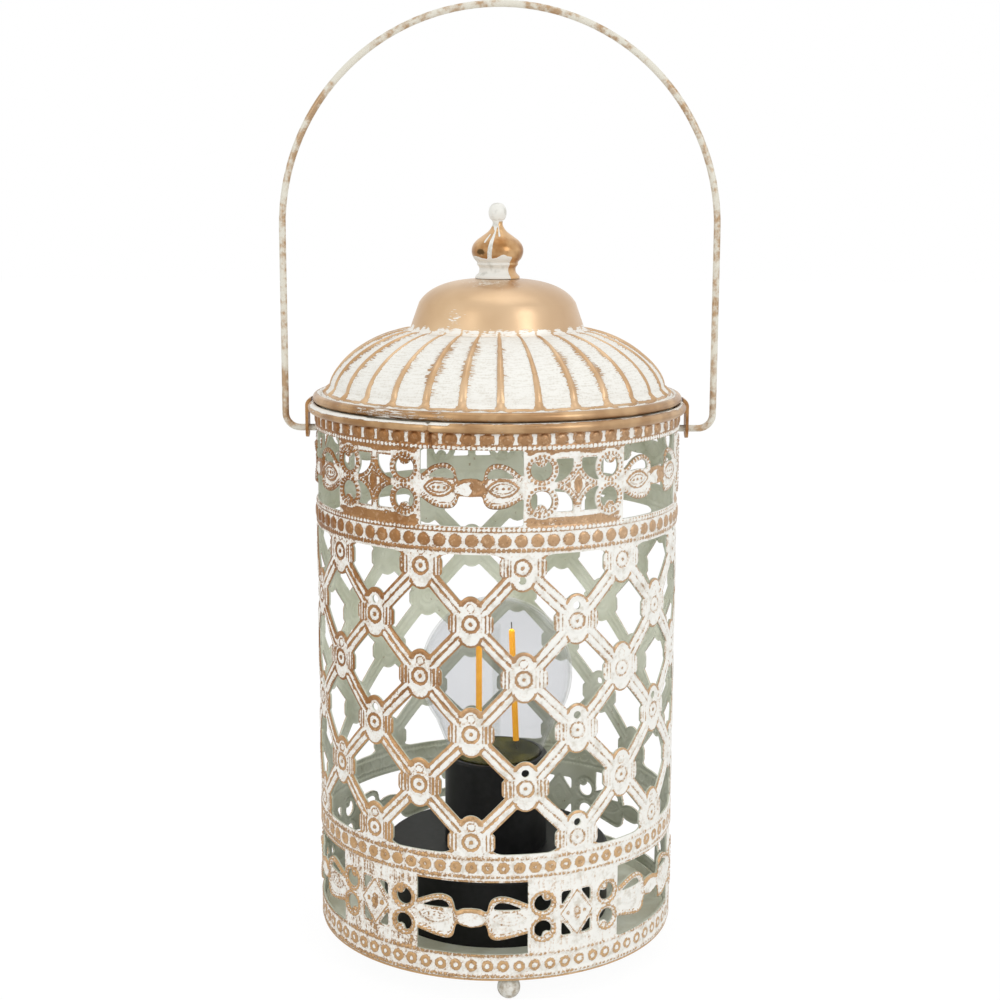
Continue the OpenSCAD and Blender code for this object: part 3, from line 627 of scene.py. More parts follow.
# %% Bows and lozenge in a window
def window_work(stamp, size, u, z, window):
    """Everything in a window; window is the distance outside its frame."""
    x = np.abs(u)
    top, foot = clear_of(x, z, size.bow_top), clear_of(x, -z, size.bow_foot)
    standing = np.maximum(top, foot)
    stamp.punch(np.maximum(window, -standing))
    moon = outline(x, z, size.moon)
    stamp.punch(moon)
    on = under(-0.2, 0.6, window)
    stamp.paint(on, 0.95)
    bow = step(5.0, 0.8, x)
    for line, height in ((size.bow_top, z), (size.bow_foot, -z)):
        away, way = along(x, height, line[::2] - [0, 1.0])
        rope(stamp, away, way, on * bow, core=size.core)
    stamp.paint(on * under(0.3, 0.3, -standing), 0.2)
    stamp.paint(on * band(0, 0.45, 0.3, moon), 0.4)

    # the almond with its three seeds
    ax = x - size.almond_x
    almond = np.hypot(ax, np.abs(z) + size.almond_drop) - size.almond_r
    stamp.press(on * 0.45 * ridge(almond + 0.3, 0.6))
    stamp.press(on * 0.35 * ridge(almond + 1.6, 0.6))
    faint = 0.5 * (1 - size.copper)
    stamp.paint(on * under(0.42, 0.3, np.abs(almond + 0.2)), 0.1 + faint)
    stamp.paint(on * under(0.3, 0.3, np.abs(almond + 1.5)), 0.36 + 0.5 * faint)
    for seed in (-2.4, 0, 2.4):
        d = np.hypot(ax - seed, z)
        stamp.press(on * 0.4 * ridge(d, 0.75))
        stamp.paint(on * under(0.6, 0.3, d), 0.08 + faint)

    # the lozenge: copper lips over and under a white lens
    lens = np.abs(z) - 2.3 * (1 - (x / 6.6) ** 2)
    middle = on * under(5.4, 0.6, x)
    stamp.press(middle * (0.55 * ridge(lens - 0.7, 0.9) + 0.35 * ridge(z, 2.3)))
    stamp.paint(middle * step(np.where(z > 0, 0.1, 0.9), 0.4, lens), 0.08)
    if size.copper:
        lap = band(0.2, 6.6, 0.9, u + 0.5 * np.sin(1.7 * z))
        stamp.paint(on * lap * under(3.4, 0.5, np.abs(z)), 0.04)
    knot = np.hypot(x - 5.9, np.abs(z) - 0.9)
    stamp.press(on * 0.5 * ridge(knot, 1.3))
    stamp.paint(on * band(0.8, 1.5, 0.35, knot) * step(5.2, 0.5, x), 0.45)

# %% Rings and diamond in a panel
def panel_work(stamp, size, w, z, window):
    """Everything in a panel, w being the distance from its middle line."""
    on = step(0.3, 0.6, window)
    stamp.paint(on, 0.9)
    z = z - size.lift
    x, y = np.abs(w), np.abs(z)
    ragged = patches(stamp.s, stamp.z, 5, 0.7, 1)
    if size.copper:
        field_end = 18.6 + 2.4 * patches(stamp.s, stamp.z, 9, 0.6)
        field = step(11.2 + 1.6 * ragged, 0.8, y) * under(field_end, 1.2, x)
        stamp.paint(on * field, 0.08 + 0.25 * (ragged > 0.72))
    else:
        scratched = patches(stamp.s, stamp.z, 0.45, 5, 2)
        stamp.paint(on * step(10.4, 1.0, y) * step(0.62, 0.2, scratched), 0.62)
    stamp.paint(on * step(19.6, 0.6, x) * under(13, 1, y), 0.8)

    dx, dy = x - size.ring_x, y - size.ring_z
    ring = np.hypot(dx, dy)
    bite = np.hypot(dx - size.bite[0], dy - size.bite[1]) - size.bite[2]
    stamp.punch(-meet(size.ring_r - ring, bite, 0.8))
    middle, pitch = size.ring_r + 1.35, 1.75
    turn = np.arctan2(dy, dx) / (2 * math.pi) * round(2 * math.pi * middle / pitch)
    around = on * step(-middle - 1.3, 0.5, -ring)
    stamp.paint(around, 0.9)
    rope(stamp, ring - middle, turn * pitch, around, pitch, 1.15, size.core)
    stamp.paint(around * under(0.35, 0.35, np.abs(ring - size.ring_r - 0.2)) * step(0.2, 0.4, bite), 0.35)
    curl = on * under(0.2, 0.4, bite) * under(size.ring_r + 0.6, 0.5, ring)
    round_bite = np.arctan2(dy - size.bite[1], dx - size.bite[0]) * size.bite[2]
    rope(stamp, bite + 0.75, round_bite, curl, 1.5, 0.8, size.core)

    # the upper diamond is what four big circles leave between them, the lower one has straight sides
    cx, cy = 1.35 * size.star_w, 1.35 * size.star_h
    big = math.hypot(0.35 * size.star_w, cy)
    zone = on * under(size.star_w + 0.8, 0.8, x) * under(size.star_h + 1.2, 0.8, y)
    if size.copper:
        star = np.hypot(x - cx, y - cy) - big
        rope(stamp, star + 0.55, np.arctan2(y - cy, x - cx) * big, zone, 1.6, 0.9)
        stamp.paint(zone * band(0.55, 1.1, 0.35, star), 0.3)
    else:
        star = (1 - x / size.star_w - y / size.star_h) / math.hypot(1 / size.star_w, 1 / size.star_h)
        stamp.press(zone * 0.5 * ridge(star + 0.2, 0.8))
        stamp.paint(zone * under(0.25, 0.3, np.abs(star + 0.2)), 0.15)
    stamp.press(zone * 0.4 * ridge(star - 1.1, 0.6))
    leaf = np.hypot(x + 2.7, y) - 4.5
    stamp.press(zone * 0.5 * ridge(np.maximum(leaf, -1.4), 1.4))
    stamp.paint(zone * under(0, 0.5, leaf), 0.08 if size.copper else 0.5)
    bud = np.hypot(x - 3.7, y) - 0.9
    stamp.paint(zone * under(0.0, 0.5, bud), 0.25)

    # the opening between the diamond and the rings
    sides = meet(-(star + 1.5), ring - middle - 1.15, 0.9), meet(size.gap_top - y, x - size.gap_side, 0.9)
    gap = -meet(meet(*sides, 0.9), size.gap_far - x, 1.6)
    stamp.punch(np.maximum(gap, x - size.ring_x))
    stamp.paint(on * band(0.0, 0.7, 0.35, gap) * (x < size.ring_x) * under(size.star_w + 1, 1, x), 0.5)


def frieze(stamp, size):
    """Stamps one frieze. u runs from the middle of the nearest window, w from that of the nearest panel."""
    u = hand_set(stamp.s, 165 * size.drift + 0 * stamp.z)
    turns = np.clip(np.round(u / FRIEZE), -2, 2)
    u = u - turns * FRIEZE
    z = stamp.z - size.middle
    window = block(u, z, size.half_w, size.half_h, 0.5)
    window_part, panel_part = Stamp(stamp.s, stamp.z), Stamp(stamp.s, stamp.z)
    window_work(window_part, size, u, z, window)
    w = np.where(u > 0, u - FRIEZE / 2, u + FRIEZE / 2)
    panel_work(panel_part, size, w, z, window)
    stamp.take(panel_part, np.abs(z) < FRIEZE_HALF)
    stamp.take(window_part, window < 0)
    stamp.paint(band(0, 0.55, 0.3, window) * (z > 0) * (np.abs(u) < size.half_w), 0.2)
    return stamp

# %% Bead lines and rows of discs
TOP_DISCS, TOP_COUNT = 216.1, 66
SEAM_AT = -25.0                          # the wall's seam, in mm round it from the front


def beads(stamp, height, r, white=0.15, ground=0.66):
    """A line of small beads on a low ridge, with this paint on them and between them."""
    pitch = WALL_ROUND / round(WALL_ROUND / 1.9)
    bead = np.hypot(((stamp.s / pitch) % 1 - 0.5) * pitch * 0.9, stamp.z - height)
    stamp.press(0.5 * ridge(bead, r))
    stamp.press(0.3 * ridge(stamp.z - height, r * 0.9))
    stamp.paint(band(height - r, height + r, 0.4, stamp.z), ground)
    stamp.paint(under(0.72 * r, 0.35, bead), white)


def discs(stamp, height, r, count=75, centre=0.1, rim=0.08, dome=0.0):
    """A row of raised discs with a fine rib between each two, dished or domed."""
    pitch = WALL_ROUND / count
    x = ((stamp.s / pitch) % 1 - 0.5) * pitch
    d = np.hypot(x, stamp.z - height)
    stamp.press(0.45 * step(-r, 0.8, -d) * (0.72 + 0.28 * (d / r) ** 2) + dome * ridge(d, r))
    stamp.press(0.22 * ridge(np.abs(x) - pitch / 2, 0.5) * band(height - r, height + r, 1, stamp.z))
    stamp.paint(under(r, 0.4, d), rim)
    stamp.paint(under(0.42 * r, 0.6, d), centre)


def draw(s, z):
    """The whole wall's pattern, at any places."""
    stamp = Stamp(s, z)
    stamp.take(lattice(Stamp(s, z)), (z > LATTICE[0] - 1.5) & (z < LATTICE[1] + 0.6))
    for size in (Lower, Upper):
        stamp.take(frieze(Stamp(s, z), size), np.abs(z - size.middle) < FRIEZE_HALF)
    top = band(211.6, 219, 0.5, z)
    stamp.paint(top, 0.1 + 0.4 * step(0.6, 0.2, patches(s, z, 14, 3, 3)))
    beads(stamp, 212.9, 1.05, 0.9, ground=0.12)
    discs(stamp, TOP_DISCS, 2.0, TOP_COUNT, dome=0.4)
    pitch = WALL_ROUND / TOP_COUNT
    tick = np.abs(((s / pitch) % 1) - 0.5) * pitch
    waist = 0.55 + 0.5 * np.abs(z - TOP_DISCS) / 2.2
    stamp.paint(band(214.2, 218.2, 0.5, z) * step(pitch / 2 - waist, 0.4, tick), 0.97)
    beads(stamp, 181.7, 1.0, 0.9, ground=0.15)
    beads(stamp, 173.7, 1.0)
    discs(stamp, 177.4, 2.5, dome=0.5)
    beads(stamp, 50.7, 0.9, 0.4)
    beads(stamp, 43.3, 0.9, 0.3)
    discs(stamp, 47.0, 2.35, centre=0.45)
    beads(stamp, 10.6, 0.9, 0.4)
    beads(stamp, 1.85, 0.8, 0.25)
    discs(stamp, 6.2, 2.35, centre=0.95, rim=0.15)
    stamp.paint(under(0.6, 0.3, z), 0.05)
    lap = (z > 211.3) & (s > SEAM_AT)
    seam = band(SEAM_AT - 0.7, SEAM_AT, 0.3, s) * step(211, 0.4, z)
    stamp.relief = stamp.relief + 0.3 * lap - 0.7 * seam
    stamp.paint(seam, 0.0)
    return stamp


print("pattern: %d columns of %.2f mm, friezes repeat every %.1f mm" % (COLUMNS, COLUMN, FRIEZE))

# %% [markdown]
# ## From the pattern to sheet metal
# A grid of small cells is laid over the wall and the cells whose middle lies in a hole are left out. The
# points along the holes' rims then slide onto the drawn outline, which turns the stairs of the grid into
# clean curves. The outer skin stands proud by the relief, the inner skin follows it more softly, as a
# stamped sheet does, and a narrow wall joins the two skins along every rim.

# %% Cells that stay, and rims that slide
def solid_cells(hole):
    """True for each cell that is metal. Cells that touch only at a corner get a neighbour between them."""
    keep = hole < 0
    for _ in range(6):
        a, b, c, d = keep[:-1, :-1], keep[:-1, 1:], keep[1:, :-1], keep[1:, 1:]
        fall, rise = a & d & ~b & ~c, b & c & ~a & ~d
        if not (fall.any() or rise.any()):
            break
        a |= rise
        c |= fall
    return keep


def slide_to_rims(s, z, at_rim, cell, rounds=4):
    """Moves the points at the rims along the slope of the drawing until they lie on the outline."""
    s, z = s.copy(), z.copy()
    s0, z0 = s[at_rim], z[at_rim]
    h = 0.05
    for _ in range(rounds):
        here, there = s[at_rim], z[at_rim]
        value = draw(here, there).hole
        gs = (draw(here + h, there).hole - draw(here - h, there).hole) / (2 * h)
        gz = (draw(here, there + h).hole - draw(here, there - h).hole) / (2 * h)
        slope = np.maximum(gs**2 + gz**2, 0.1)
        ds, dz = -value * gs / slope, -value * gz / slope
        far = np.maximum(np.hypot(here + ds - s0, there + dz - z0) / (0.72 * cell), 1)
        s[at_rim] = s0 + (here + ds - s0) / far
        z[at_rim] = z0 + (there + dz - z0) / far
    return s, z


def stamped_sheet(name, start, end, low, high, cell, material):
    """One piece of the wall, between two places round it and two heights above the wall's foot."""
    around, up = round((end - start) / cell), round((high - low) / cell)
    s, z = np.meshgrid(np.linspace(start, end, around + 1), np.linspace(low, high, up + 1))
    half_s, half_z = (end - start) / around / 2, (high - low) / up / 2
    keep = solid_cells(draw(s[:-1, :-1] + half_s, z[:-1, :-1] + half_z).hole)

    # number the corners of the cells that stay, and find those on a rim
    number = np.arange(s.size).reshape(s.shape)
    quads = np.stack([number[:-1, :-1], number[:-1, 1:], number[1:, 1:], number[1:, :-1]], -1)[keep]
    touched = np.bincount(quads.ravel(), minlength=s.size).reshape(s.shape)
    inner = np.zeros(s.shape, bool)
    inner[1:-1, 1:-1] = True
    at_rim = (touched > 0) & (touched < 4) & inner
    s, z = slide_to_rims(s, z, at_rim, cell)
    final = draw(s, z)

    used = np.unique(quads)
    new = np.full(s.size, -1)
    new[used] = np.arange(len(used))
    quads = new[quads]
    flat_s, flat_z = s.ravel()[used], z.ravel()[used]
    relief, white = final.relief.ravel()[used], final.white.ravel()[used]
    angle = flat_s / WALL_R

    def skin(r):
        return np.stack([r * np.sin(angle), -r * np.cos(angle), FOOT + flat_z], -1)

    outer, inside = skin(WALL_R + relief), skin(WALL_R - SHEET + 0.6 * relief)
    count = len(used)
    edges = np.concatenate([quads[:, [k, (k + 1) % 4]] for k in range(4)])
    key = edges[:, 0] * count + edges[:, 1]
    back = edges[:, 1] * count + edges[:, 0]
    rim = edges[~np.isin(key, back)]
    walls = np.stack([rim[:, 1], rim[:, 0], rim[:, 0] + count, rim[:, 1] + count], -1)
    faces = np.concatenate([quads, quads[:, ::-1] + count, walls])
    numbers = {"white": np.concatenate([white, white]),
               "inside": np.repeat([0.0, 1.0], count)}
    piece = make(name, np.concatenate([outer, inside]), faces, "lantern_body", material,
                 numbers)
    thin_out(piece, MOST_FACES)
    return piece

# %% [markdown]
# ## White paint rubbed down to copper
# The sheet was lacquered copper, painted off-white and rubbed, so the paint survives in the hollows and is
# gone on the ridges. The drawing already says where; the shader adds ragged edges with noise before it
# decides between paint and lacquer. The left of the lamp is rubbed harder than the right. The copper is also
# painted with light and shade: paler towards the right, darker on the left, with painted shade where paint
# meets bare metal and fine painted glints. Inside, the sheet is sprayed sage green, with rust freckles.

# %% Colours of the painted metal
WHITE, WHITE_SHADE = rgb(243, 242, 236), rgb(216, 211, 199)
COPPER, COPPER_DARK, COPPER_PALE = rgb(188, 144, 96), rgb(146, 98, 52), rgb(206, 174, 140)
# a brown used as painted shade, along the edges of the paint and in fine specks
SHADE_BROWN = rgb(118, 80, 44)
# the second and third of these colours are painted light: bright specks for glints, and a deep brown for
# shade on the upper left
COPPER_GOLD, COPPER_GLINT, COPPER_LEFT_SHADE = rgb(214, 176, 128), rgb(240, 208, 172), rgb(128, 80, 36)
SAGE, SAGE_SHADE, RUST = rgb(200, 203, 188), rgb(176, 179, 159), rgb(128, 98, 64)


def lacquer(finish, side):
    """Copper lacquer, darker in blotches, golder low on the wall and darker towards the top band. Painted
    light and shade on it: paler and pinker towards the right, deeper on the upper left, fine glints and brown
    specks.
    """
    blotch = finish.blotch(0.35, 0.7, 38, 4)
    colour = finish.blend(COPPER_DARK, COPPER, blotch)
    z = finish.node("SeparateXYZ", None, {0: finish.place()}, "Z")
    low = 1 - finish.cut(z, 0.045, 0.14)
    # painted light: paler and pinker towards the right
    colour = finish.blend(colour, COPPER_PALE, side * 0.85)
    colour = finish.blend(colour, COPPER_GOLD, low * 0.7)
    colour = finish.blend(colour, COPPER_DARK, finish.cut(z, 0.2, 0.226) * 0.4)
    # painted shade: deeper on the upper left
    colour = finish.blend(colour, COPPER_LEFT_SHADE, finish.cut(z, 0.12, 0.2) * (1 - side) * 0.25)
    # painted highlights: fine bright specks, more on the right; then painted shade: fine brown specks
    bright = finish.blotch(0.5, 0.75, 620, 3, 0.7)
    colour = finish.blend(colour, COPPER_GLINT, bright * (side * 0.4 + low * 0.15 + 0.35))
    return finish.blend(colour, SHADE_BROWN, finish.blotch(0.54, 0.74, 480, 3, 0.7) * 0.55)


def left_to_right(finish):
    """0 at the left of the lamp and 1 at its right."""
    x = finish.node("SeparateXYZ", None, {0: finish.place()})
    return finish.cut(x, -0.055, 0.06)


def distressed(name):
    """Off-white over copper: the mesh says where paint is left, and noise frays its edges."""
    finish = Finish(name, Specular_IOR_Level=0.5)
    side = left_to_right(finish)
    fray = (finish.noise(1100, 2, 0.6) - 0.5) * 1.1 + (finish.noise(190, 3, 0.6) - 0.5) * 0.9
    left = finish.painted("white") + fray + side * 0.28 - 0.15
    paint = finish.cut(left, 0.42, 0.6)
    white = finish.blend(WHITE, WHITE_SHADE, finish.blotch(0.48, 0.72, 260, 4, 0.65))
    white = finish.blend(white, COPPER_PALE, (1 - finish.cut(left, 0.5, 0.85)) * 0.5)
    # painted shade: brown where the paint's edge meets bare copper, more on the left
    metal = finish.blend(lacquer(finish, side), SHADE_BROWN, finish.cut(left, 0.25, 0.45) * (1 - side * 0.6) * 0.75)
    outside = finish.blend(metal, white, paint)
    sage = finish.blend(SAGE_SHADE, SAGE, finish.blotch(0.3, 0.62, 46, 3))
    freckle = finish.blotch(0.66, 0.72, 420, 3, 0.7)
    sage = finish.blend(sage, RUST, freckle * 0.7)
    inside = finish.cut(finish.painted("inside"), 0.1, 0.4)
    bare = (1 - paint) * (1 - inside)
    height = paint * 0.5 + finish.noise(1500, 2) * 0.16
    return finish.drive(Base_Color=finish.blend(outside, sage, inside), Metallic=bare * 0.72,
                        Roughness=0.52 - bare * 0.14, Normal=finish.bump(height, 0.0002, 0.6))


wall_finish = distressed("distressed_white")
print("finish:", wall_finish.name)

# %% Stamp the three pieces of the wall
CELL = 0.5                 # mm
MOST_FACES = 195000                                # triangles in one piece
strips = {"lower_frieze_band": (0.0, LATTICE_LOW, 2), "lattice_sheet": (LATTICE_LOW, LATTICE_HIGH, 3),
          "upper_frieze_band": (LATTICE_HIGH, 219.4, 2)}
for node, (low, high, parts) in strips.items():
    joints = TURN + np.linspace(-0.5, 0.5, parts + 1) * WALL_ROUND
    for part in range(parts):
        name = "%s_%d" % (node, part + 1)
        sheet = stamped_sheet(name, joints[part], joints[part + 1], low, high, CELL, wall_finish)
        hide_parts(node)

# %% [markdown]
# ## Rolled rim, ears and feet
# The wall's top edge is rolled round a wire, which stiffens it and makes a smooth bead. It is lathe work,
# so it is turned from a circle. The ears and the feet keep their CAD shapes and only get the finish.

# %% Rims
SEAM = SEAM_AT / WALL_R                            # the same seam as an angle
RING_SEGMENTS, RING_STEPS = 420, 20


def tube_ring(name, radius, height, tube, body, material, worn, lap=None):
    """A bead rolled from sheet: a circle swept round the lamp's axis. worn(turn, angle) gives its white:
    paint, and on the rolled rim a painted highlight as well. A bead with a lap has a groove at that angle,
    where its two ends meet."""
    t = np.arange(RING_STEPS) / RING_STEPS * 2 * math.pi
    section = np.stack([radius + tube * np.cos(t), height + tube * np.sin(t)], -1)
    points, faces, angle, _ = turned(section, RING_SEGMENTS)
    turn = np.repeat(t, RING_SEGMENTS)
    if lap is not None:
        beyond = (angle - lap) % (2 * math.pi)
        grow = 0.22 * (beyond < 5.9) - 0.6 * (beyond > 2 * math.pi - 0.012)
        out = np.stack([np.sin(angle) * np.cos(turn), -np.cos(angle) * np.cos(turn), np.sin(turn)], -1)
        points = points + out * (grow - 0.22)[:, None]
    return make(name, points, faces, body, material, {"white": worn(turn, angle)},
                (angle * radius, turn * tube))


def brushed(name, low, high, rough=0.36):
    """Lacquer, from the colour low to the colour high, with white paint left in brush strokes."""
    finish = Finish(name, Specular_IOR_Level=0.5)
    side = left_to_right(finish)
    stroke = finish.brushwork(3, 0.65, 0.16, 1.5)
    patch = finish.brushwork(2, 0.5, 0.09, 0.13)
    fine = finish.noise(1200, 2, 0.6)
    left = finish.painted("white") + (stroke - 0.5) * 1.5 + (patch - 0.5) * 0.8 + (fine - 0.5) * 0.35
    paint = finish.cut(left, 0.44, 0.6)
    grey = finish.cut(stroke + (fine - 0.5) * 0.6, 0.44, 0.7)
    white = finish.blend(WHITE, WHITE_SHADE, grey * 0.65 + 0.1)
    metal = finish.blend(low, high, finish.blotch(0.35, 0.65, 60, 3))
    # painted light: paler towards the right; painted shade: brown along the paint's edges
    metal = finish.blend(metal, COPPER_PALE, side * 0.3)
    metal = finish.blend(metal, SHADE_BROWN, finish.cut(left, 0.2, 0.45) * 0.35)
    height = paint * 0.6 + stroke * 0.5
    return finish.drive(Base_Color=finish.blend(metal, white, paint), Metallic=(1 - paint) * 0.72,
                        Roughness=rough + paint * 0.16, Normal=finish.bump(height, 0.00022, 0.6))


def rim_paint_and_highlight(turn, angle):
    """White along the top of the rim is a painted highlight, all round. On the left strip, up to the seam,
    paint is left on the rim's upper side as well, and a little white comes and goes round the rim.
    """
    top = hump(turn, 1.5, 0.4)
    left = band(4.9, SEAM % (2 * math.pi) + 0.1, 0.03, angle) * hump(turn, 0.95, 0.35)
    return 0.1 + 0.65 * top + 1.1 * left + 0.1 * np.sin(angle * 5 + 1)


def lid_bead_worn(turn, angle):
    """The left front of the lid's bead has kept a grey-white skin."""
    left = hump(angle, 5.8, 0.45) * (np.cos(turn + 0.7) > -0.2)
    top = hump(turn, 2.0, 0.45)
    return 0.06 + 0.36 * left + 0.8 * top + 0.08 * np.sin(angle * 7)


rim_finish = brushed("rim_lacquer", rgb(158, 118, 76), rgb(204, 168, 124), 0.3)
rim = tube_ring("rolled_rim", ROLL_R, FOOT + ROLL_Z, ROLL, "lantern_body", rim_finish,
                rim_paint_and_highlight, SEAM)
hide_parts("upper_frieze_band")
print("rim bead", round(2 * ROLL, 1), "mm thick at radius", round(ROLL_R, 1))

# %% [markdown]
# ## Fluted lid
# The lid's skirt is a low bell with thirty raised ribs. White paint fills the flutes and is rubbed off the
# ribs and the flared foot. The bell is turned from its outline, and the ribs are raised on it with a smooth
# profile, wider at the foot and dying out under the dome. The paint was brushed on round the lid, so the
# strokes cross the ribs and leave ragged edges; for that the mesh carries the distance round and up the
# lid.

# %% The skirt
SKIRT_LOW, SKIRT_HIGH = 237.8, 260.4
SKIRT_FOOT_R, SKIRT_TOP_R, SKIRT_POWER = 69.0, 35.5, 1.6
LID_T = 0.9
RIBS, RIB_TURN = 30, 1.2                           # the front rib's turn in degrees
RIB_STEP = 360 / RIBS
RIB_HIGH, RIB_HALF = 0.8, 1.3
LID_BEAD_R, LID_BEAD_Z, LID_BEAD = 74.4, 233.1, 1.9


def bell(rise, inset=0.0):
    """The skirt's outline from its foot to its neck; rise runs from 0 to 1."""
    t = rise * math.pi / 2
    a, h = SKIRT_FOOT_R - SKIRT_TOP_R - inset, SKIRT_HIGH - SKIRT_LOW - inset
    return np.stack([SKIRT_TOP_R + a * np.cos(t) ** (2 / SKIRT_POWER),
                     SKIRT_LOW + h * np.sin(t) ** (2 / SKIRT_POWER)], -1)


rise = np.linspace(0, 1, 48)
flare = [(73.2, 233.6), (72.9, 234.2), (72.4, 234.9), (71.6, 235.6), (70.6, 236.3), (69.7, 237.0)]
skin = np.vstack([flare, bell(rise)])
lining = np.vstack([bell(np.linspace(1, 0, 12), LID_T), [(71.4, 234.6), (72.6, 233.2)]])
SEGMENTS = 1440
points, faces, angle, way = turned(np.vstack([skin, lining]), SEGMENTS)
radius = np.hypot(points[:, 0], points[:, 1])
row = np.repeat(np.arange(len(skin) + len(lining)), SEGMENTS)
climb = (row - len(flare)) / (len(rise) - 1)
degrees = (np.degrees(angle) - RIB_TURN) % RIB_STEP
from_rib = np.radians(np.minimum(degrees, RIB_STEP - degrees)) * radius
print("skirt:", len(points), "points before the ribs are raised")

# %% Ribs and paint on the skirt
climb = np.clip(climb, 0, 1)
half = RIB_HALF * (1 - 0.55 * climb)
profile = np.clip(1 - (from_rib / (1.5 * half)) ** 2, 0, 1) ** 1.4
fade = step(1.6, 2.4, way) * under(0.95, 0.1, climb)
dish = -0.3 * np.clip(from_rib / 6, 0, 1) * step(0.08, 0.16, climb) * under(0.85, 0.2, climb)
groove = -0.35 * band(1.3, 2.3, 0.8, way)
on_skin = row < len(skin)
outward = np.stack([np.sin(angle) * 0.5, -np.cos(angle) * 0.5, 0.866 + 0 * angle], -1)
points = points + outward * (on_skin * (RIB_HIGH * profile * fade + dish + groove))[:, None]

# White fills the flutes. Each rib is rubbed by its own amount, more on its right side than on its left.
rib_number = np.round((np.degrees(angle) - RIB_TURN) / RIB_STEP) % RIBS
rubbed = np.abs(np.sin(rib_number * 2.4 + 0.6)) * np.sin(math.pi * climb) ** 0.7
to_right = ((np.degrees(angle) - RIB_TURN + RIB_STEP / 2) % RIB_STEP) > RIB_STEP / 2
wide = half * (0.5 + 0.25 * rubbed) + 2.2 * np.exp(-(way - 3.0) / 0.8) + 0.6 * (1 - climb) ** 1.5
reach = 1.2 + rubbed * np.where(to_right, 4.5, 2.0)
beyond = from_rib - wide
white = 0.04 + (0.8 - 0.36 * rubbed) * step(0.15, 0.6, beyond)
white = white + (0.98 - white) * step(0.5 * reach + 0.4, reach, beyond) * (beyond > 0)
white = np.where(way < 3.1, 0.08, white)
white = np.where(way < 1.7, 0.8, white)
skirt_finish = brushed("lid_paint", rgb(192, 154, 112), rgb(220, 188, 150), 0.36)
skirt = make("fluted_skirt", points, faces, "lid", skirt_finish, {"white": white},
             (angle * radius, way))
thin_out(skirt, MOST_FACES)
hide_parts("lid_skirt")
lid_bead = tube_ring("lid_bead", LID_BEAD_R, LID_BEAD_Z, LID_BEAD, "lid", rim_finish,
                     lid_bead_worn)
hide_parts("lid_skirt")

# %% [markdown]
# ## Dome and finial
# The dome is a spun cap of smooth satin lacquer. The white of the flutes laps onto its foot in short tips,
# and scattered strokes of paint are left on it. The finial was dipped: its foot and its tip are white, and
# copper shows between them, with a few drips. Both are turned again from their outlines, finer than the
# solids.

# %% The dome
DOME_LOW, DOME_R, DOME_H, DOME_POWER = 260.0, 34.7, 21.6, 2.8


def cap(r, h):
    """The dome's outline from near its foot to its top."""
    t = np.linspace(0.28, 1, 60) * math.pi / 2
    return np.stack([r * np.cos(t) ** (2 / DOME_POWER), DOME_LOW + h * np.sin(t) ** (2 / DOME_POWER)], -1)


top = cap(DOME_R, DOME_H)
foot_line = smooth_line([(37.8, 260.25), (36.6, 260.9), (35.7, 262.2), top[0]])
crown = [(0.05, DOME_LOW + DOME_H), (0.05, DOME_LOW + DOME_H - LID_T)]
lining = cap(DOME_R - LID_T, DOME_H - LID_T)[::-1]
outline_points = np.vstack([foot_line[:-1], top[:-1], crown, lining, [(34.6, 261.0), (36.4, 260.1)]])
points, faces, angle, way = turned(outline_points, 360)
degrees = (np.degrees(angle) - RIB_TURN) % RIB_STEP
between = np.clip(np.minimum(degrees, RIB_STEP - degrees) / (RIB_STEP / 2), 0, 1)
rib_end = 1.0 + 2.2 * patches(angle * DOME_R, 0 * way, 5, 1, 9)
rib_line = under(0.1, 0.16, between) * under(rib_end, 1.0, way)
petal = under(2.2 + 0.7 * between + 2.0 * patches(angle * DOME_R, way, 1.3, 3.0, 8), 1.6, way)
left_low = hump(angle, 5.72, 0.13) * hump(way, 7.5, 4.5)
upper = hump(way, 32, 9) * (0.6 + 0.4 * np.sin(angle * 3 + 2))
white = 0.1 + 0.62 * petal * (1 - 0.9 * rib_line) + 0.48 * left_low * (way > 3) + 0.36 * upper


def dome_finish():
    """Satin lacquer with strokes of paint where the mesh asks for some."""
    finish = Finish("copper_lacquer", Metallic=0.7)
    side = left_to_right(finish)
    colour = finish.blend(rgb(192, 156, 114), rgb(222, 190, 150), finish.blotch(0.3, 0.7, 26, 3))
    # painted light: paler and pinker towards the right
    colour = finish.blend(colour, rgb(214, 186, 158), side * 0.5)
    stroke = finish.brushwork(3, 0.65, 0.3, 2.0)
    patch = finish.brushwork(2, 0.5, 0.1, 0.12)
    left = finish.painted("white") + (stroke - 0.5) * 1.3 + (patch - 0.5) * 0.9
    paint = finish.cut(left, 0.47, 0.58)
    return finish.drive(Base_Color=finish.blend(colour, WHITE, paint * 0.9),
                        Roughness=0.28 + finish.noise(120, 2) * 0.08 + paint * 0.12,
                        Normal=finish.bump(stroke * 0.3 + paint, 0.00015, 0.4))


dome = make("dome_cap", points, faces, "lid", dome_finish(), {"white": white},
            (angle * DOME_R, way))
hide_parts("lid_dome")
print("dome: %.1f mm high on a foot of %.1f mm radius" % (DOME_H, DOME_R))

# %% The finial
FINIAL_LOW = DOME_LOW + DOME_H
DRIPS = ((-19, 5, 8, 22, 0.5), (-34, 3, 14.5, 18, 0), (2, 4, 17, 21.5, 0.6), (118, 6, 12, 22, 0),
         (-150, 7, 10, 22, 0.4), (-95, 4, 8, 14, 0))       # degrees, half width, lowest, highest, lean
FINIAL_LINE = [(9.2, 0), (9.0, 0.9), (7.7, 2.4), (7.5, 4.2), (8.4, 5.6), (8.5, 6.6), (9.8, 8.2), (10.6, 10.6),
               (10.3, 13.0), (8.8, 15.2), (6.2, 17.2), (3.6, 19.2), (2.2, 21.4), (2.2, 23.2), (3.1, 24.2),
               (3.7, 26.4), (3.3, 28.6), (1.9, 30.2), (0.05, 30.6)]


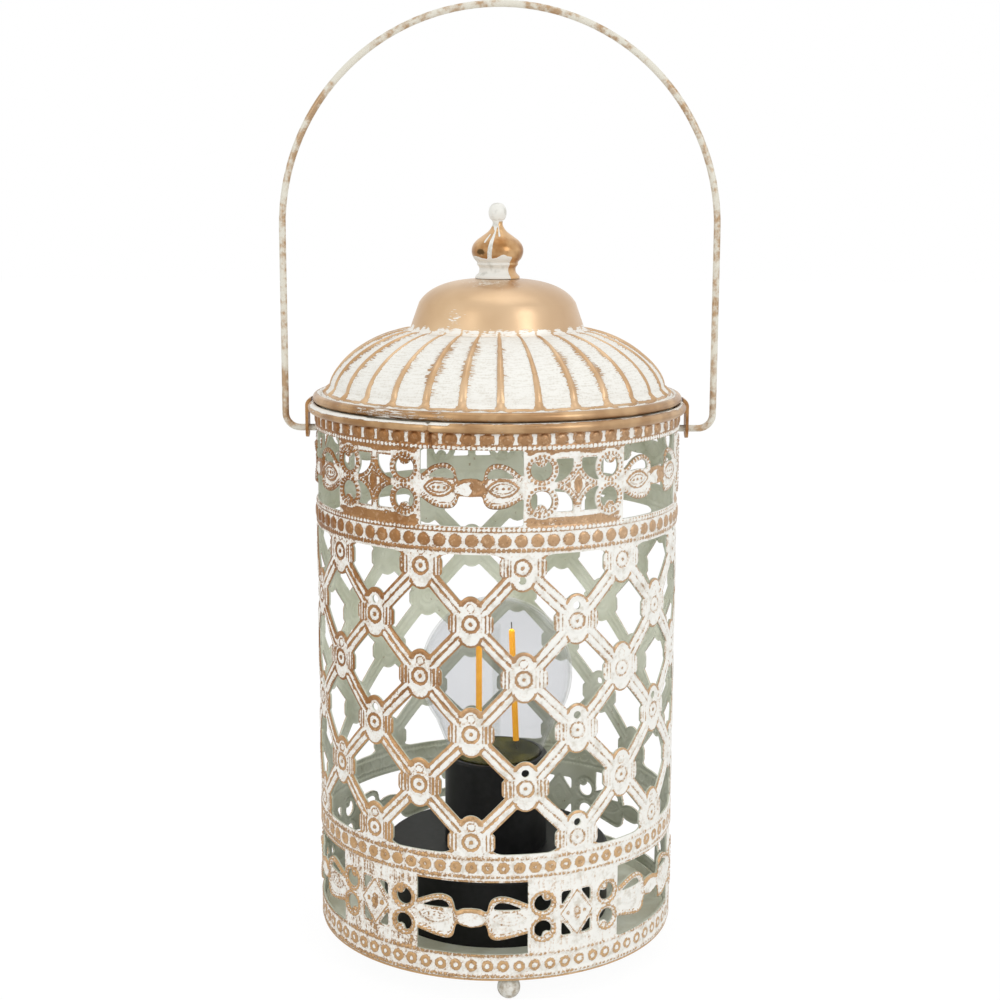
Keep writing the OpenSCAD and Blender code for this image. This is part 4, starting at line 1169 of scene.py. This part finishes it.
def dipped():
    """White over copper, with its wavy edge drawn on the mesh, and one patch worn dark."""
    finish = Finish("finial_paint")
    paint = finish.cut(finish.painted("white") + (finish.noise(700, 3, 0.6) - 0.5) * 0.7, 0.42, 0.56)
    white = finish.blend(rgb(234, 233, 226), rgb(200, 199, 190), finish.blotch(0.5, 0.75, 240, 3))
    copper = finish.blend(rgb(160, 112, 62), rgb(216, 176, 128), finish.blotch(0.3, 0.6, 90, 3))
    dark = finish.cut(finish.painted("dark") + (finish.noise(500, 3, 0.6) - 0.5) * 0.9, 0.4, 0.7)
    copper = finish.blend(copper, rgb(96, 70, 34), dark)
    return finish.drive(Base_Color=finish.blend(copper, white, paint), Metallic=(1 - paint) * 0.7,
                        Roughness=0.28 + paint * 0.12, Normal=finish.bump(paint, 0.0003, 0.5))


outline_points = smooth_line([(r, FINIAL_LOW + z) for r, z in FINIAL_LINE], steps=8)
points, faces, angle, _ = turned(np.vstack([[(0.05, FINIAL_LOW)], outline_points]), 240)
across, rise = np.degrees((angle + math.pi) % (2 * math.pi) - math.pi), points[:, 2] - FINIAL_LOW
dip = 8.6 + 0.5 * np.sin(across / 14) + 0.9 * hump(across, 12, 9)
foot_white = under(dip, 0.8, rise) * (1 - band(36, 150, 5, across))
tip_white = step(21.0 + 2.0 * step(10, 20, across) - 1.6 * hump(across, -20, 14), 0.8, rise)
drips = sum(band(low, high, 0.8, rise) * under(wide, 5, np.abs(across - at - lean * (rise - 8)))
            for at, wide, low, high, lean in DRIPS)
dark = hump(across, -40, 15) * hump(rise, 10.9, 1.7)
finial = make("turned_finial", points, faces, "lid", dipped(),
              {"white": np.clip(foot_white + tip_white + drips, 0, 1), "dark": dark}, sharp=60)
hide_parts("finial")
print("finial:", len(faces), "faces")

# %% [markdown]
# ## Ears, bail and feet
# These keep their CAD solids: the shapes are plain wire, strap and ball, and their story is told by the
# finish. The bail's white paint is worn to brown in long patches, the ears are bare lacquer.

# %% Finishes for the metal that keeps its CAD shape, and for the screws and wires out of view
def dress(material, *names):
    """Gives CAD nodes their finish."""
    for name in names:
        node = nodes[name]
        for one in node.material_slots:
            one.material = material
        if not node.material_slots:
            node.data.materials.append(material)
        node.data.polygons.foreach_set("use_smooth", np.ones(len(node.data.polygons), bool))
        node.data.set_sharp_from_angle(angle=math.radians(32))


def bail_finish():
    """Cream paint worn to brown in long patches."""
    finish = Finish("bail_paint")
    worn = finish.cut(finish.noise(300, 3, 0.6) * 0.45 + finish.noise(45, 3, 0.6) * 0.55, 0.45, 0.6)
    colour = finish.blend(rgb(222, 218, 204), rgb(172, 134, 90), worn * 0.85)
    return finish.drive(Base_Color=colour, Metallic=worn * 0.5, Roughness=0.42 - worn * 0.08,
                        Normal=finish.bump(finish.noise(700, 2) - worn * 0.5, 0.0002, 0.5))


def plain_paint(name, low, high, scale=140, metal=0.0, rough=0.5, bump=0.3, shine=0.5, glow=0.0):
    """A finish of two close colours in fine blotches, with a little texture."""
    low, high = rgb(*low), rgb(*high)
    finish = Finish(name, Metallic=metal, Specular_IOR_Level=shine, Emission_Color=high,
                    Emission_Strength=glow)
    return finish.drive(Base_Color=finish.blend(low, high, finish.blotch(0.35, 0.65, scale, 4)),
                        Roughness=rough - 0.05 + finish.noise(scale * 2, 2) * 0.1,
                        Normal=finish.bump(finish.noise(scale * 7, 3), 0.0001, bump))


def dress_all(rows):
    """Each row: the finish's name, its two colours, what else it needs, and the CAD nodes that wear it."""
    for name, low, high, more, wearers in rows:
        dress(plain_paint(name, low, high, **more), *wearers.split())


dress(bail_finish(), "bail_wire")
dress_all((
    ("ear_lacquer", (146, 98, 52), (188, 144, 96), dict(metal=0.65, rough=0.36), "bail_ears"),
    ("foot_paint", (226, 224, 216), (172, 160, 140), dict(scale=420, rough=0.42), "ball_feet"),
    # painted light: a paler copy of the wall's inner sage, lightened because little light reaches the floor
    # plate
    ("sage_lacquer", (214, 212, 192), (238, 240, 226), dict(scale=60), "floor_plate lid_collar"),
    ("steel", (150, 150, 150), (176, 176, 174), dict(scale=200, metal=0.9, rough=0.3),
     "rim_wire lid_wire unit_screws finial_screw finial_washer door_screw door_pin")))
print("dressed the metal that keeps its CAD shape")

# %% [markdown]
# ## Light unit
# The unit is moulded in black plastic. Its globe is thin clear glass, which is mixed from a transparent and
# a glossy shader: at this wall thickness glass bends light very little, and the mix stays clean of noise.
# The globe is turned again here, because highlights on glass show every facet.

# %% Plastic, glass and lamp parts
def glass(name, tint, edge_shine=0.6, veil=0.03):
    """Clear at the middle but for a soft veil, and sharp and shiny where it is seen edge on."""
    finish = Finish(name)
    clear = finish.node("BsdfTransparent", None, {"Color": tint})
    slant = finish.node("LayerWeight", None, {"Blend": 0.5}, "Facing")
    edge = finish.maths("POWER", slant, 5.0)
    rough = 0.5 - finish.cut(edge, 0.02, 0.3) * 0.42
    shine = finish.node("BsdfAnisotropic", None, {"Color": (1, 1, 1, 1), "Roughness": rough})
    finish.end_with(finish.node("MixShader", None, {0: edge * edge_shine + veil, 1: clear, 2: shine}))
    return finish.material


dress_all((
    ("black_plastic", (15, 15, 17), (24, 24, 26), dict(scale=300, rough=0.45, bump=0.25, shine=0.3),
     "base_housing base_cover pedestal battery_door"),
    ("olive_resin", (38, 38, 12), (84, 80, 34), dict(scale=120, rough=0.5, shine=0.1), "globe_plug"),
    # the filaments' faint emission is a painted glow that brightens their amber
    ("amber_phosphor", (234, 158, 34), (244, 172, 44), dict(scale=260, rough=0.7, shine=0.1, glow=0.4),
     "light_filaments"),
    ("lead_wire", (96, 92, 88), (150, 146, 140), dict(metal=0.8, rough=0.35), "filament_leads"),
    ("board_green", (34, 92, 58), (42, 108, 70), dict(scale=200), "driver_board"),
    ("cell_jacket", (60, 66, 74), (76, 82, 92), dict(scale=120, rough=0.35), "battery_cells"),
    ("nickel_plate", (176, 172, 160), (200, 197, 188), dict(metal=0.9, rough=0.3), "battery_contacts"),
    ("switch_grey", (60, 60, 62), (72, 72, 74), dict(scale=300), "switch_body switch_slider")))
dress(glass("stem_glass", (0.975, 0.98, 0.975, 1), 0.2, 0.02), "filament_stem")
print("dressed the light unit")

# %% The globe
GLOBE_Z, GLOBE_R, GLOBE_T = 114.3, 32.5, 0.9
GLOBE_NECK, GLOBE_SEAT, GLOBE_SHELF = 19.6, 78.8, 73.8


def globe_skin(r, neck):
    """From the shelf that carries the globe, up its neck and over to its top."""
    turn = np.radians(np.linspace(-36, 89.2, 64))
    ball = np.stack([r * np.cos(turn), GLOBE_Z + r * np.sin(turn)], -1)
    neck_line = smooth_line([(neck, GLOBE_SHELF), (neck, GLOBE_SEAT - 1.5),
                             (neck + 1.1, GLOBE_SEAT + 2.4), ball[0]])
    return np.vstack([neck_line[:-1], ball])


outer = globe_skin(GLOBE_R, GLOBE_NECK)
inner = globe_skin(GLOBE_R - GLOBE_T, GLOBE_NECK - GLOBE_T)
points, faces, _, _ = turned(np.vstack([outer, inner[::-1]]), 192)
clear_glass = glass("clear_glass", (0.915, 0.918, 0.925, 1), 0.4)
globe = make("clear_globe", points, faces, "lantern_body", clear_glass, {})
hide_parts("globe_glass")
print("globe:", len(faces), "faces")
